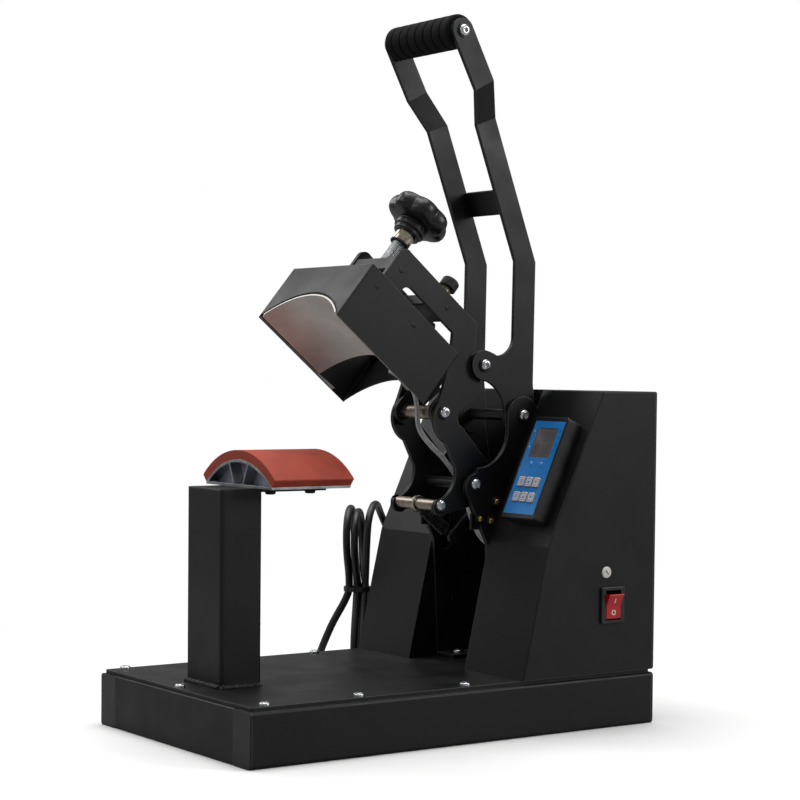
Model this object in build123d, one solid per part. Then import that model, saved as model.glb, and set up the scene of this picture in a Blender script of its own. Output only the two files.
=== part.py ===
"""Cap heat press: a clamshell press with a curved heated head on a toggle linkage.

Millimetres. +Z is up, -Y is the operator's side (the curved platen), +X is the side with
the power switch. The origin is the centre of the base's footprint, on the surface that the
press stands on. The press is modelled open: the arm and head are drawn level, as they lie
when the press is shut, and then turned back about the arm pivot.
"""
import os
from math import atan2, cos, degrees, hypot, pi, radians, sin, sqrt, tan

from build123d import *

# ---------------------------------------------------------------- driving sizes
# fits
RUN_GAP = 0.05            # radial clearance of a running fit
SCREW_GAP = 0.1           # radial clearance of a screw in its hole
SIDE_GAP = 0.5            # clearance between plates that swing past each other
SHEET_GAP = 0.1           # clearance between a sheet and the part it covers

# base
BASE_WIDTH = 246.0
BASE_LENGTH = 404.0
RAIL_WIDTH = 25.0
RAIL_HEIGHT = 44.0
RAIL_WALL = 2.0
RAIL_CORNER = 3.0
CAP_FLANGE = 2.0          # visible thickness of a rail's plastic end cap
CAP_PLUG = 14.0           # length of the cap inside the rail
PANEL_THICK = 1.5         # sheet between the rails at the front and the rear
PANEL_FLANGE = 18.0
BASE_PLATE_THICK = 3.0
BASE_PLATE_INSET = 2.5
PLATE_SCREW_ROWS = (-184.0, -98.0, 6.0, 96.0, 166.0)
PLATE_SCREW_INSET = 9.0   # from the rail's outer side
PANEL_SCREW_INSET = 8.0   # from the front or the rear of the base

# post and platen
POST_WIDTH = 56.0
POST_DEPTH = 38.0
POST_WALL = 3.0
POST_CORNER = 3.0
POST_FRONT_Y = -173.0
PLATEN_BASE_Z = 206.5     # top of the bracket that carries the platen
BRACKET_THICK = 3.0
BRACKET_REAR_Y = -73.0
PLATEN_FRONT_Y = -141.5
PLATEN_LENGTH = 75.0
PLATEN_HALF_CHORD = 57.5
PLATEN_TOP_Z = 236.5
PLATEN_RADIUS = 85.0      # outside radius of the silicone pad
PAD_THICK = 7.6
PAD_GLUE = 0.05
CORE_WALL = 2.2
CORE_SPOKE = 1.8
CORE_SPOKE_FOOT = 6.0     # half the distance between the spokes at their feet
CORE_SPOKE_HEAD = 15.5
PLATEN_SCREW_PITCH = 40.0

# housing behind the platen: two cabinets with an open channel between them
CABINET_WALL = 1.5
CABINET_BEND = 1.4        # outside radius of the sheet bends
CABINET_REAR_Y = 200.5
CABINET_TOP_Z = 286.5
CABINET_TOP_Y = 142.0     # where the sloping front meets the top
KNEE_Y = 83.7
KNEE_Z = 156.7
CABINET_FOOT_Y = 59.0
REAR_COVER_THICK = 1.5

# side frames, with the two fixed pivots
FRAME_INSIDE = 37.5       # x of the frame plates' inner faces
FRAME_THICK = 4.0
FRAME_FOOT = 22.0
FRAME_FRONT_Y = 88.0
FRAME_REAR_Y = 150.0
LEVER_PIVOT = (120.0, 264.5)     # y, z
ARM_PIVOT = (68.5, 205.4)
LEVER_BOSS = 16.5
ARM_BOSS = 9.5
PIVOT_ROD_RADIUS = 5.0

# linkage
OPEN_ANGLE = 39.7         # how far the arm stands open from level, in degrees
CRANK_LENGTH = 58.5       # lever pivot to toggle pin
UPPER_ROD = (8.5, 235.5)  # y, z with the arm level
LOWER_ROD = (56.5, 172.6)
UPPER_ROD_RADIUS = 6.0
LOWER_ROD_RADIUS = 5.0
LEVER_THICK = 4.0
ARM_THICK = 4.0
LINK_THICK = 4.0
LINK_LOBE = 11.0
TOGGLE_LOBE = 13.0
TOGGLE_PIN_RADIUS = 4.0
BOLT_RADIUS = 4.0         # M8
BOLT_HEAD_RADIUS = 6.4
BOLT_HEAD_HEIGHT = 4.2
BOLT_DEPTH = 12.0         # how far a bolt enters a rod
SLOT_TRAVEL = 7.0         # adjusting slot of the upper rod's bolts
ARM_LEG = 22.0
ARM_LEG_FOOT_Z = 262.0
ARM_TOP_Z = 316.0
ARM_BEAM_Z = 293.5
ARM_LOBE = 24.0
LOWER_LOBE = 8.0
SLOT_TURN = 20.0
STOP_GAP = 1.4
STOP_RUBBER = 9.0

# lever and handle
LEVER_WIDTH = 21.0
LEVER_KNEE = (124.5, 398.0)
LEVER_FOLD = (79.5, 516.0)
HANDLE_CENTRE = (44.0, 588.0)
LEVER_SPREAD = 14.0       # how much further out the grip ends of the lever stand
SPREAD_LENGTH = 31.0      # length of the slanting stretch
LEVER_TIE_CENTRE = 53.0   # from the knee to the middle of the tie plate
LEVER_TIE_HEIGHT = 22.0
LEVER_TIE_THICK = 3.5
GRIP_RADIUS = 14.5
GRIP_RINGS = 7
GRIP_RING_DEPTH = 1.0
GRIP_RING_WIDTH = 3.2
HANDLE_ROD_RADIUS = 5.0

# head: a sheet cover round a cast heater
HEAD_HALF_WIDTH = 61.5
HEAD_LENGTH = 113.5
HEAD_HEIGHT = 54.5
HEAD_WALL = 1.2
HEAD_CLOSED_Z = 215.0     # underside of the cover when the press is shut
HEAD_ARCH_RADIUS = 89.0
HEATER_GAP = 0.8          # between heater and pad when shut, with no cap
HEATER_THICK = 12.0
HEATER_SIDE_GAP = 3.6
HEATER_TOP_Z = 252.0
HEATER_BOSS_WIDTH = 52.0
CARRIER_THICK = 3.0
HEAD_LIFT = 7.0           # adjustment of the head on the arm
SCREW_PITCH = 1.75        # M12
SCREW_RADIUS = 6.0
SCREW_Y = -103.0          # screw axis with the arm level
BLOCK_BOTTOM_Z = 291.0
BLOCK_TOP_Z = 305.0
NUT_BOTTOM_Z = 330.0
NUT_HEIGHT = 10.0
NUT_ACROSS_FLATS = 19.0
COLLAR_HEIGHT = 10.0
COLLAR_RADIUS = 14.0
KNOB_LOBES = 7
KNOB_RADIUS = 27.0
KNOB_HEIGHT = 22.0
STOP_Y = -41.0            # lever stop, with the arm level
TIE_BAR_Z = 299.5
TIE_BAR_HEIGHT = 12.0
TIE_BAR_DEPTH = 24.0
HEAD_BEND = 1.6
HEAD_LIP = 8.0
CARRIER_CHEEK = 12.0
CUP_HEIGHT = 13.0

# controller, switch, fuse
CASE_WIDTH = 45.0
CASE_LENGTH = 93.0
CASE_DEPTH = 16.0
CASE_X = 89.0
CASE_ON_SLOPE = 78.0      # from the top of the sloping front to the case's middle
FACE_WIDTH = 40.0
FACE_LENGTH = 85.0
FACE_THICK = 0.8
DISPLAY_WIDTH = 27.0
DISPLAY_LENGTH = 27.0
DISPLAY_FROM_TOP = 6.3
KEY_WIDTH = 8.0
KEY_LENGTH = 8.5
KEY_RISE = 1.2
KEY_PITCH = 9.9
KEY_ROW_PITCH = 13.8
KEY_FROM_TOP = 56.0
KEY_WELL = 4.0
KEY_TRAVEL = 0.6
SWITCH_Y = 153.8
SWITCH_Z = 105.2
BEZEL_LENGTH = 31.0
BEZEL_WIDTH = 25.5
BEZEL_RISE = 2.4
SWITCH_CUT_LENGTH = 28.0
SWITCH_CUT_WIDTH = 21.6
SWITCH_DEPTH = 20.0
ROCKER_LENGTH = 22.0
ROCKER_WIDTH = 16.0
ROCKER_TILT = 12.0
ROCKER_SADDLE = 3.5
FUSE_Y = 147.2
FUSE_Z = 133.2

# spring, cable and cord
SPRING_WIRE = 2.0         # diameter of the wire
SPRING_RADIUS = 6.0
SPRING_ANCHOR = (76.0, 157.0)
SPRING_STEM = 2.0
SPRING_STEM_RADIUS = 0.8
HOOK_RADIUS = 4.0
HOOK_GAP = 0.2
CABLE_RADIUS = 2.6
CABLE_HOLE = (95.5, 149.2)
CABLE_HOLE_RADIUS = 6.0
CORD_RADIUS = 3.5
GLAND_Y = 140.0
GLAND_Z = 140.0
GLAND_THREAD = 6.0
GLAND_NUT = 9.5
HANK_OUT = 27.0           # from the cabinet's side to the middle of the bundle
HANK_Y = 77.0
HANK_TURN = 130.0         # heading of the bundle's flat side, in degrees from +X
HANK_HEIGHT = 177.0
HANK_LIFT = 0.5
HANK_FOLD = 21.0          # bend radius of the cord at the folds
HANK_TIE_Z = 98.0
HANK_WAIST = 10.0
HANK_THICK = 22.0

# ---------------------------------------------------------------- worked out once
BASE_TOP_Z = RAIL_HEIGHT + BASE_PLATE_THICK
PLATE_SCREW_X = BASE_WIDTH / 2 - PLATE_SCREW_INSET
PANEL_SCREW_Y = PANEL_SCREW_INSET - BASE_LENGTH / 2
CABINET_HALF_WIDTH = BASE_WIDTH / 2
PAD_INNER_RADIUS = PLATEN_RADIUS - PAD_THICK
PLATEN_CENTRE_Z = PLATEN_TOP_Z - PLATEN_RADIUS
CHANNEL_HALF_WIDTH = FRAME_INSIDE + FRAME_THICK
SLOPE_ANGLE = degrees(atan2(CABINET_TOP_Y - KNEE_Y, CABINET_TOP_Z - KNEE_Z))
LEVER_INSIDE = FRAME_INSIDE - SIDE_GAP - LEVER_THICK
ARM_INSIDE = LEVER_INSIDE - SIDE_GAP - ARM_THICK
LINK_INSIDE = ARM_INSIDE - SIDE_GAP - LINK_THICK
GRIP_INSIDE = LEVER_INSIDE + LEVER_SPREAD
HEAD_FRONT_Y = PLATEN_FRONT_Y
HEAD_REAR_Y = HEAD_FRONT_Y + HEAD_LENGTH
HEAD_TOP_Z = HEAD_CLOSED_Z + HEAD_HEIGHT
CARRIER_Z = HEATER_TOP_Z
COLLAR_TOP_Z = NUT_BOTTOM_Z + NUT_HEIGHT + COLLAR_HEIGHT
SIDE_X = -CABINET_HALF_WIDTH
HANK_PLACE = (SIDE_X - HANK_OUT, HANK_Y)
GLAND_END_X = SIDE_X - 10.0
LEAD_POINTS = [(GLAND_END_X, GLAND_Y, GLAND_Z), (SIDE_X - 27, 140.0, 139.0),
               (SIDE_X - 45, 139.0, 140.0), (SIDE_X - 59, 132.0, 149.0),
               (SIDE_X - 60, 124.0, 165.0), (SIDE_X - 50, 113.0, 176.0),
               (SIDE_X - 38, 99.7, 175.0), (SIDE_X - 30, 89.7, 162.5),
               (SIDE_X - 27.5, 86.5, 146.0)]
TAIL_POINTS = [(SIDE_X - 29, 68.0, 96.0), (SIDE_X - 35, 66.0, 84.0), (SIDE_X - 47, 62.0, 66.0),
               (SIDE_X - 60, 59.0, 42.0), (SIDE_X - 76, 61.0, 20.0), (SIDE_X - 99, 74.0, 7.5),
               (SIDE_X - 124, 97.0, 3.8), (SIDE_X - 138, 128.0, 3.6),
               (SIDE_X - 133, 159.0, 4.2), (SIDE_X - 115, 181.0, 6.5),
               (SIDE_X - 90, 190.0, 9.0), (SIDE_X - 72, 191.0, 10.5)]
CABLE_POINTS = [(7.0, 2.0, 302.0), (7.5, 20.0, 287.5), (8.0, 30.0, 271.0), (8.5, 38.0, 253.5),
                (9.0, 52.0, 238.5), (10.0, 69.0, 224.0), (12.0, 83.0, 205.0),
                (15.0, 89.0, 184.0), (23.0, 90.0, 165.0), (37.0, 94.0, 150.5),
                (53.0, 101.0, 144.0)]
ROCKER_X = CABINET_HALF_WIDTH - 0.6
DISPLAY_UP = FACE_LENGTH / 2 - DISPLAY_FROM_TOP - DISPLAY_LENGTH / 2


def turned(point, angle, centre):
    """A (y, z) point turned about the X axis through centre, positive from Y to Z."""
    c, s = cos(radians(angle)), sin(radians(angle))
    dy, dz = point[0] - centre[0], point[1] - centre[1]
    return (centre[0] + c * dy - s * dz, centre[1] + s * dy + c * dz)


def circles_meet(centre_a, radius_a, centre_b, radius_b):
    """The upper point that lies at the two radii from the two centres."""
    dy, dz = centre_b[0] - centre_a[0], centre_b[1] - centre_a[1]
    gap = sqrt(dy * dy + dz * dz)
    along = (radius_a ** 2 - radius_b ** 2 + gap ** 2) / (2 * gap)
    across = sqrt(max(radius_a ** 2 - along ** 2, 0.0))
    ends = []
    for side in (1, -1):
        ends.append((centre_a[0] + (along * dy - side * across * dz) / gap,
                     centre_a[1] + (along * dz + side * across * dy) / gap))
    return max(ends, key=lambda end: end[1])


LINK_LENGTH = hypot(LEVER_PIVOT[0] - UPPER_ROD[0], LEVER_PIVOT[1] - UPPER_ROD[1]) - CRANK_LENGTH
UPPER_ROD_OPEN = turned(UPPER_ROD, -OPEN_ANGLE, ARM_PIVOT)
LOWER_ROD_OPEN = turned(LOWER_ROD, -OPEN_ANGLE, ARM_PIVOT)
TOGGLE_PIN = circles_meet(LEVER_PIVOT, CRANK_LENGTH, UPPER_ROD_OPEN, LINK_LENGTH)
TOGGLE_PIN_LEVEL = turned(TOGGLE_PIN, OPEN_ANGLE, ARM_PIVOT)


# ---------------------------------------------------------------- helpers
def side_plate(outline, inside, thick):
    """A plate cut to an outline of the YZ plane, its inner face at x = inside."""
    plane = Plane(origin=(inside, 0, 0), x_dir=(0, 1, 0), z_dir=(1, 0, 0))
    return extrude(plane * outline, amount=thick)


def disc(centre, radius):
    return Pos(centre[0], centre[1]) * Circle(radius)


def across(centre, radius, x_low, x_high):
    """A round bar along X between two values of x, through a (y, z) point."""
    bar = Cylinder(radius, x_high - x_low)
    return Pos((x_low + x_high) / 2, centre[0], centre[1]) * (Rot(0, 90, 0) * bar)


def upright(x, y, z_low, z_high, radius):
    return Pos(x, y, (z_low + z_high) / 2) * Cylinder(radius, z_high - z_low)


def block(x_low, x_high, y_low, y_high, z_low, z_high):
    size = (x_high - x_low, y_high - y_low, z_high - z_low)
    centre = ((x_low + x_high) / 2, (y_low + y_high) / 2, (z_low + z_high) / 2)
    return Pos(*centre) * Box(*size)


def mirrored(shape):
    return mirror(shape, about=Plane.YZ)


def opened(shape):
    """Turns a piece that was drawn level to where it stands with the press open."""
    axis = Axis((0, ARM_PIVOT[0], ARM_PIVOT[1]), (1, 0, 0))
    return shape.rotate(axis, -OPEN_ANGLE)


def hull_of_discs(first, first_radius, second, second_radius):
    """Two discs joined by their common outer tangents."""
    return make_hull(disc(first, first_radius).edges() + disc(second, second_radius).edges())


def bolt_across(centre, x_face, reach, side, radius=BOLT_RADIUS):
    """A button-head bolt along X: its head seats on x_face and its shank runs inwards."""
    head = across(centre, BOLT_HEAD_RADIUS, x_face, x_face + BOLT_HEAD_HEIGHT)
    rim = head.edges().filter_by(GeomType.CIRCLE).sort_by(Axis.X)[-1]
    head = fillet(rim, BOLT_HEAD_HEIGHT * 0.6)
    socket_depth = BOLT_HEAD_HEIGHT * 0.6
    hexagon = Plane(origin=(x_face + BOLT_HEAD_HEIGHT, centre[0], centre[1]), z_dir=(-1, 0, 0))
    head -= extrude(hexagon * RegularPolygon(radius * 0.62, 6), amount=socket_depth)
    bolt = head + across(centre, radius, x_face - reach, x_face)
    return bolt if side > 0 else mirrored(bolt)


def tapped_rod(centre, radius, half_length):
    """A cross rod with a tapped hole in each end."""
    rod = across(centre, radius, -half_length, half_length)
    hole = BOLT_RADIUS * 0.8 + RUN_GAP
    rod -= across(centre, hole, half_length - BOLT_DEPTH, half_length)
    rod -= across(centre, hole, -half_length, -half_length + BOLT_DEPTH)
    return rod


def pan_screw(place, shank_length):
    """A pan-head screw: its head seats on the place's XY plane, its shank runs down."""
    head = Pos(0, 0, 1.3) * Cylinder(4.4, 2.6)
    head = fillet(head.edges().filter_by(GeomType.CIRCLE).sort_by(Axis.Z)[-1], 1.5)
    head -= Pos(0, 0, 2.2) * Box(5.0, 0.9, 1.6)
    head -= Pos(0, 0, 2.2) * Box(0.9, 5.0, 1.6)
    shank = Pos(0, 0, -shank_length / 2) * Cylinder(2.0, shank_length)
    return place * (head + shank)


def outline(start, *moves):
    """A closed flat face: a move is the end of a line, or the middle and end of an arc."""
    edges = []
    here = start
    for move in moves:
        if isinstance(move[0], tuple):
            edges.append(ThreePointArc(here, move[0], move[1]))
            here = move[1]
        else:
            edges.append(Line(here, move))
            here = move
    if hypot(here[0] - start[0], here[1] - start[1]) > 0.001:
        edges.append(Line(here, start))
    return make_face(edges)


nodes = {}


# ---------------------------------------------------------------- base
def rail(side):
    """A rectangular steel tube along one side of the base, tapped for the plate's screws."""
    length = BASE_LENGTH - 2 * CAP_FLANGE
    x = side * (BASE_WIDTH - RAIL_WIDTH) / 2
    tube = Pos(x, 0, RAIL_HEIGHT / 2) * Box(RAIL_WIDTH, length, RAIL_HEIGHT)
    tube = fillet(tube.edges().filter_by(Axis.Y), RAIL_CORNER)
    hollow = Box(RAIL_WIDTH - 2 * RAIL_WALL, length, RAIL_HEIGHT - 2 * RAIL_WALL)
    tube -= Pos(x, 0, RAIL_HEIGHT / 2) * hollow
    for y in PLATE_SCREW_ROWS:
        tube -= upright(side * PLATE_SCREW_X, y, RAIL_HEIGHT / 2, RAIL_HEIGHT + 1, 2.0 + RUN_GAP)
    return tube


def rail_end_caps():
    """Plastic caps pushed into the four ends of the rails."""
    caps = []
    for side in (-1, 1):
        for end in (-1, 1):
            x = side * (BASE_WIDTH - RAIL_WIDTH) / 2
            y = end * (BASE_LENGTH - CAP_FLANGE) / 2
            flange = Pos(x, y, RAIL_HEIGHT / 2) * Box(RAIL_WIDTH, CAP_FLANGE, RAIL_HEIGHT)
            flange = fillet(flange.edges().filter_by(Axis.Y), RAIL_CORNER)
            plug_y = end * (BASE_LENGTH / 2 - CAP_FLANGE - CAP_PLUG / 2)
            across_plug = RAIL_WIDTH - 2 * RAIL_WALL - 2 * SHEET_GAP
            up_plug = RAIL_HEIGHT - 2 * RAIL_WALL - 2 * SHEET_GAP
            plug = Pos(x, plug_y, RAIL_HEIGHT / 2) * Box(across_plug, CAP_PLUG, up_plug)
            hollow = Box(across_plug - 4, CAP_PLUG, up_plug - 4)
            plug -= Pos(x, plug_y, RAIL_HEIGHT / 2) * hollow
            caps.append(flange + plug)
    return Compound(children=caps)


def end_panel(end):
    """A folded sheet that closes the base between the rails, with its flanges inside."""
    half = BASE_WIDTH / 2 - RAIL_WIDTH - SHEET_GAP
    face = BASE_LENGTH / 2
    web = block(-half, half, face - PANEL_THICK, face, 0.5, RAIL_HEIGHT)
    top = block(-half, half, face - PANEL_FLANGE, face, RAIL_HEIGHT - PANEL_THICK, RAIL_HEIGHT)
    low = block(-half, half, face - PANEL_FLANGE, face, 0.5, 0.5 + PANEL_THICK)
    panel = web + top + low
    panel = fillet(panel.edges().filter_by(Axis.X).group_by(Axis.Y)[-1], PANEL_THICK * 0.9)
    if end < 0:
        panel = mirror(panel, about=Plane.XZ)
        panel -= upright(0, PANEL_SCREW_Y, RAIL_HEIGHT / 2, RAIL_HEIGHT + 1, 2.0 + RUN_GAP)
    return panel


def base_plate():
    """The top plate of the base, drilled for its screws."""
    width = BASE_WIDTH - 2 * BASE_PLATE_INSET
    length = BASE_LENGTH - 2 * BASE_PLATE_INSET
    plate = Pos(0, 0, RAIL_HEIGHT + BASE_PLATE_THICK / 2) * Box(width, length, BASE_PLATE_THICK)
    plate = fillet(plate.edges().filter_by(Axis.Z), 2)
    for x, y in plate_screw_places():
        plate -= upright(x, y, RAIL_HEIGHT - 1, BASE_TOP_Z + 1, 2.0 + SCREW_GAP)
    return plate


def plate_screw_places():
    places = [(0, PANEL_SCREW_Y)]
    for y in PLATE_SCREW_ROWS:
        places += [(-PLATE_SCREW_X, y), (PLATE_SCREW_X, y)]
    return places


def plate_screws():
    return [pan_screw(Pos(x, y, BASE_TOP_Z), 10.0) for x, y in plate_screw_places()]


nodes["rail_left"] = rail(-1)
nodes["rail_right"] = rail(1)
nodes["rail_end_caps"] = rail_end_caps()
nodes["end_panels"] = Compound(children=[end_panel(-1), end_panel(1)])
nodes["base_plate"] = base_plate()


# ---------------------------------------------------------------- post and platen
def platen_post():
    """A weldment: a square tube with a bead round its foot, and the platen's plate on top."""
    height = PLATEN_BASE_Z - BRACKET_THICK - BASE_TOP_Z
    y = POST_FRONT_Y + POST_DEPTH / 2
    tube = Pos(0, y, BASE_TOP_Z + height / 2) * Box(POST_WIDTH, POST_DEPTH, height)
    tube = fillet(tube.edges().filter_by(Axis.Z), POST_CORNER)
    tube -= Pos(0, y, BASE_TOP_Z + height / 2) * Box(
        POST_WIDTH - 2 * POST_WALL, POST_DEPTH - 2 * POST_WALL, height)
    bead = Pos(0, y, BASE_TOP_Z + 1) * Box(POST_WIDTH + 4, POST_DEPTH + 4, 2)
    bead = fillet(bead.edges().filter_by(Axis.Z), POST_CORNER + 2)
    bead = chamfer(bead.faces().sort_by(Axis.Z)[-1].edges(), 1.8)
    bead -= Pos(0, y, BASE_TOP_Z + 1) * Box(POST_WIDTH - 6, POST_DEPTH - 6, 2)
    z_low = PLATEN_BASE_Z - BRACKET_THICK
    plate = block(-POST_WIDTH / 2, POST_WIDTH / 2, POST_FRONT_Y, BRACKET_REAR_Y, z_low,
                  PLATEN_BASE_Z)
    plate = fillet(plate.edges().filter_by(Axis.Z), POST_CORNER)
    for x, y in platen_screw_places():
        plate -= upright(x, y, z_low - 1, PLATEN_BASE_Z + 1, 2.0 + SCREW_GAP)
    return tube + bead + plate


def platen_screw_places():
    half = PLATEN_SCREW_PITCH / 2
    return [(-half, BRACKET_REAR_Y - 12), (half, BRACKET_REAR_Y - 12),
            (-half, POST_FRONT_Y + POST_DEPTH + 12), (half, POST_FRONT_Y + POST_DEPTH + 12)]


def arc_section(inner_radius, outer_radius, half_chord):
    """The cross-section of a curved plate: two arcs round the platen's centre, radial ends."""
    half_turn = degrees(atan2(half_chord, sqrt(outer_radius ** 2 - half_chord ** 2)))
    points = []
    for radius in (outer_radius, inner_radius):
        for turn in (-half_turn, 0, half_turn):
            points.append((radius * sin(radians(turn)),
                           PLATEN_CENTRE_Z + radius * cos(radians(turn))))
    out_left, out_top, out_right, in_left, in_top, in_right = points
    return outline(out_left, (out_top, out_right), in_right, (in_top, in_left), out_left)


def from_front(face, y_front, length):
    """Extrudes a section of the XZ plane backwards from y_front."""
    plane = Plane(origin=(0, y_front, 0), x_dir=(1, 0, 0), z_dir=(0, -1, 0))
    return extrude(plane * face, amount=-length)


def platen_core():
    """An aluminium extrusion: a curved top on a flat sole, with two slanting webs."""
    radius = PAD_INNER_RADIUS - PAD_GLUE
    half = PLATEN_HALF_CHORD * radius / PLATEN_RADIUS
    shoulder = PLATEN_CENTRE_Z + sqrt(radius ** 2 - half ** 2)
    top = PLATEN_CENTRE_Z + radius
    body = outline((-half, shoulder), ((0, top), (half, shoulder)), (half, PLATEN_BASE_Z),
                   (-half, PLATEN_BASE_Z))
    inner = radius - CORE_WALL
    inner_half = half - 2 * CORE_WALL
    sole = PLATEN_BASE_Z + CORE_WALL
    rise = PLATEN_CENTRE_Z + sqrt(inner ** 2 - inner_half ** 2)
    hollow = outline((-inner_half, max(rise, sole + 0.3)),
                     ((0, PLATEN_CENTRE_Z + inner), (inner_half, max(rise, sole + 0.3))),
                     (inner_half, sole), (-inner_half, sole))
    for side in (-1, 1):
        foot = side * CORE_SPOKE_FOOT
        head = side * CORE_SPOKE_HEAD
        width = side * CORE_SPOKE
        hollow -= outline((foot, sole - 1), (head, top), (head + width, top),
                          (foot + width, sole - 1))
    core = from_front(body, PLATEN_FRONT_Y, PLATEN_LENGTH)
    core -= from_front(hollow, PLATEN_FRONT_Y, PLATEN_LENGTH)
    for x, y in platen_screw_places():
        core -= upright(x, y, PLATEN_BASE_Z - 1, sole + 1, 2.0 + RUN_GAP)
    return core


def platen_screws():
    screws = []
    for x, y in platen_screw_places():
        place = Pos(x, y, PLATEN_BASE_Z - BRACKET_THICK) * Rot(180, 0, 0)
        screws.append(pan_screw(place, BRACKET_THICK + CORE_WALL))
    return screws


def platen_pad():
    """The moulded silicone pad on the platen."""
    pad = from_front(arc_section(PAD_INNER_RADIUS, PLATEN_RADIUS, PLATEN_HALF_CHORD),
                     PLATEN_FRONT_Y, PLATEN_LENGTH)
    return fillet(pad.edges().filter_by(Axis.Y).group_by(Axis.Z)[-1], 1.0)


nodes["platen_post"] = platen_post()
nodes["platen_core"] = platen_core()
nodes["platen_pad"] = platen_pad()


# ---------------------------------------------------------------- cabinets


def slope_y(z):
    """The sloping front's y at a height between the knee and the top."""
    return KNEE_Y + (z - KNEE_Z) * tan(radians(SLOPE_ANGLE))


def cabinet_outline(wall):
    """The side view of a cabinet, drawn in by a wall; its rear and foot stay open."""
    foot = CABINET_FOOT_Y + wall
    knee = KNEE_Y + wall
    top_y = CABINET_TOP_Y + wall * (1 - sin(radians(SLOPE_ANGLE))) / cos(radians(SLOPE_ANGLE))
    rear = CABINET_REAR_Y + wall
    floor = BASE_TOP_Z - wall
    return outline((foot, floor), (knee, KNEE_Z), (top_y, CABINET_TOP_Z - wall),
                   (rear, CABINET_TOP_Z - wall), (rear, floor))


def cabinet_right():
    """A folded sheet box, open at the rear, with a flange that sits on the base plate."""
    inner, outer = CHANNEL_HALF_WIDTH, CABINET_HALF_WIDTH
    shell = side_plate(cabinet_outline(0), inner, outer - inner)
    bends = shell.edges().filter_by(GeomType.LINE).filter_by(
        lambda edge: abs(edge.center().X - outer) < 0.01 and edge.center().Y < CABINET_REAR_Y - 1
        and edge.center().Z > BASE_TOP_Z + 1)
    shell = fillet(bends, CABINET_BEND)
    shell -= side_plate(cabinet_outline(CABINET_WALL), inner + CABINET_WALL,
                        outer - inner - 2 * CABINET_WALL)
    flange = block(inner + CABINET_WALL, outer - CABINET_WALL, CABINET_REAR_Y - 22,
                   CABINET_REAR_Y, BASE_TOP_Z, BASE_TOP_Z + CABINET_WALL)
    shell += flange
    for x, y in ((inner + 20, CABINET_REAR_Y - 11), (outer - 20, CABINET_REAR_Y - 11)):
        shell -= upright(x, y, BASE_TOP_Z - 1, BASE_TOP_Z + 5, 2.0 + SCREW_GAP)
    for y, z in frame_screw_places():
        shell -= across((y, z), 2.0 + SCREW_GAP, inner - 1, inner + CABINET_WALL + 1)
    shell -= across(CABLE_HOLE, CABLE_HOLE_RADIUS, inner - 1, inner + CABINET_WALL + 1)
    return shell


def frame_screw_places():
    """Screws that hold a side frame to the cabinet's channel wall."""
    return [(CABINET_TOP_Y - 4, 190.0), (CABINET_TOP_Y - 4, 100.0), (KNEE_Y + 18, 100.0)]


def switch_cut():
    return block(CABINET_HALF_WIDTH - CABINET_WALL - 1, CABINET_HALF_WIDTH + 1,
                 SWITCH_Y - SWITCH_CUT_WIDTH / 2, SWITCH_Y + SWITCH_CUT_WIDTH / 2,
                 SWITCH_Z - SWITCH_CUT_LENGTH / 2, SWITCH_Z + SWITCH_CUT_LENGTH / 2)


def rear_cover():
    """The sheet across the backs of both cabinets and the channel, with cooling slots."""
    cover = block(-CABINET_HALF_WIDTH, CABINET_HALF_WIDTH, CABINET_REAR_Y,
                  CABINET_REAR_Y + REAR_COVER_THICK, BASE_TOP_Z, CABINET_TOP_Z)
    cover = fillet(cover.edges().filter_by(Axis.Y), 2.0)
    for side in (-1, 1):
        for step in range(6):
            slot = Pos(side * 82, CABINET_REAR_Y, 200 + 10 * step) * (
                Rot(90, 0, 0) * extrude(SlotOverall(44, 3), amount=6, both=True))
            cover -= slot
    for x, z in cover_screw_places():
        cover -= Pos(x, CABINET_REAR_Y, z) * (Rot(90, 0, 0) * Cylinder(2.0 + SCREW_GAP, 10))
    return cover


def cover_screw_places():
    places = []
    for side in (-1, 1):
        for z in (BASE_TOP_Z + 14, (BASE_TOP_Z + CABINET_TOP_Z) / 2, CABINET_TOP_Z - 14):
            places.append((side * (CABINET_HALF_WIDTH - CABINET_WALL - 7), z))
            places.append((side * (CHANNEL_HALF_WIDTH + CABINET_WALL + 7), z))
    return places


def cover_tabs(shell):
    """Tabs folded in at the rear of a cabinet, where the cover's screws bite."""
    for x, z in cover_screw_places():
        if x > 0:
            wall_side = 1 if x > (CHANNEL_HALF_WIDTH + CABINET_HALF_WIDTH) / 2 else -1
            reach = sorted((x - wall_side * 6, x + wall_side * 7.5))
            tab = block(reach[0], reach[1], CABINET_REAR_Y - CABINET_WALL, CABINET_REAR_Y,
                        z - 7, z + 7)
            tab -= Pos(x, CABINET_REAR_Y, z) * (Rot(90, 0, 0) * Cylinder(2.0 + RUN_GAP, 10))
            shell += tab
    return shell


def cover_screws():
    screws = []
    for x, z in cover_screw_places():
        place = Pos(x, CABINET_REAR_Y + REAR_COVER_THICK, z) * Rot(-90, 0, 0)
        screws.append(pan_screw(place, 8.0))
    return screws


cabinet = cover_tabs(cabinet_right())
gland_hole = across((GLAND_Y, GLAND_Z), GLAND_THREAD + SCREW_GAP,
                    CABINET_HALF_WIDTH - 5, CABINET_HALF_WIDTH + 5)
cabinet_left = mirrored(cabinet) - mirrored(gland_hole)
nodes["cabinet_left"] = cabinet_left
nodes["cabinet_right"] = cabinet - switch_cut()
nodes["rear_cover"] = rear_cover()


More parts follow.
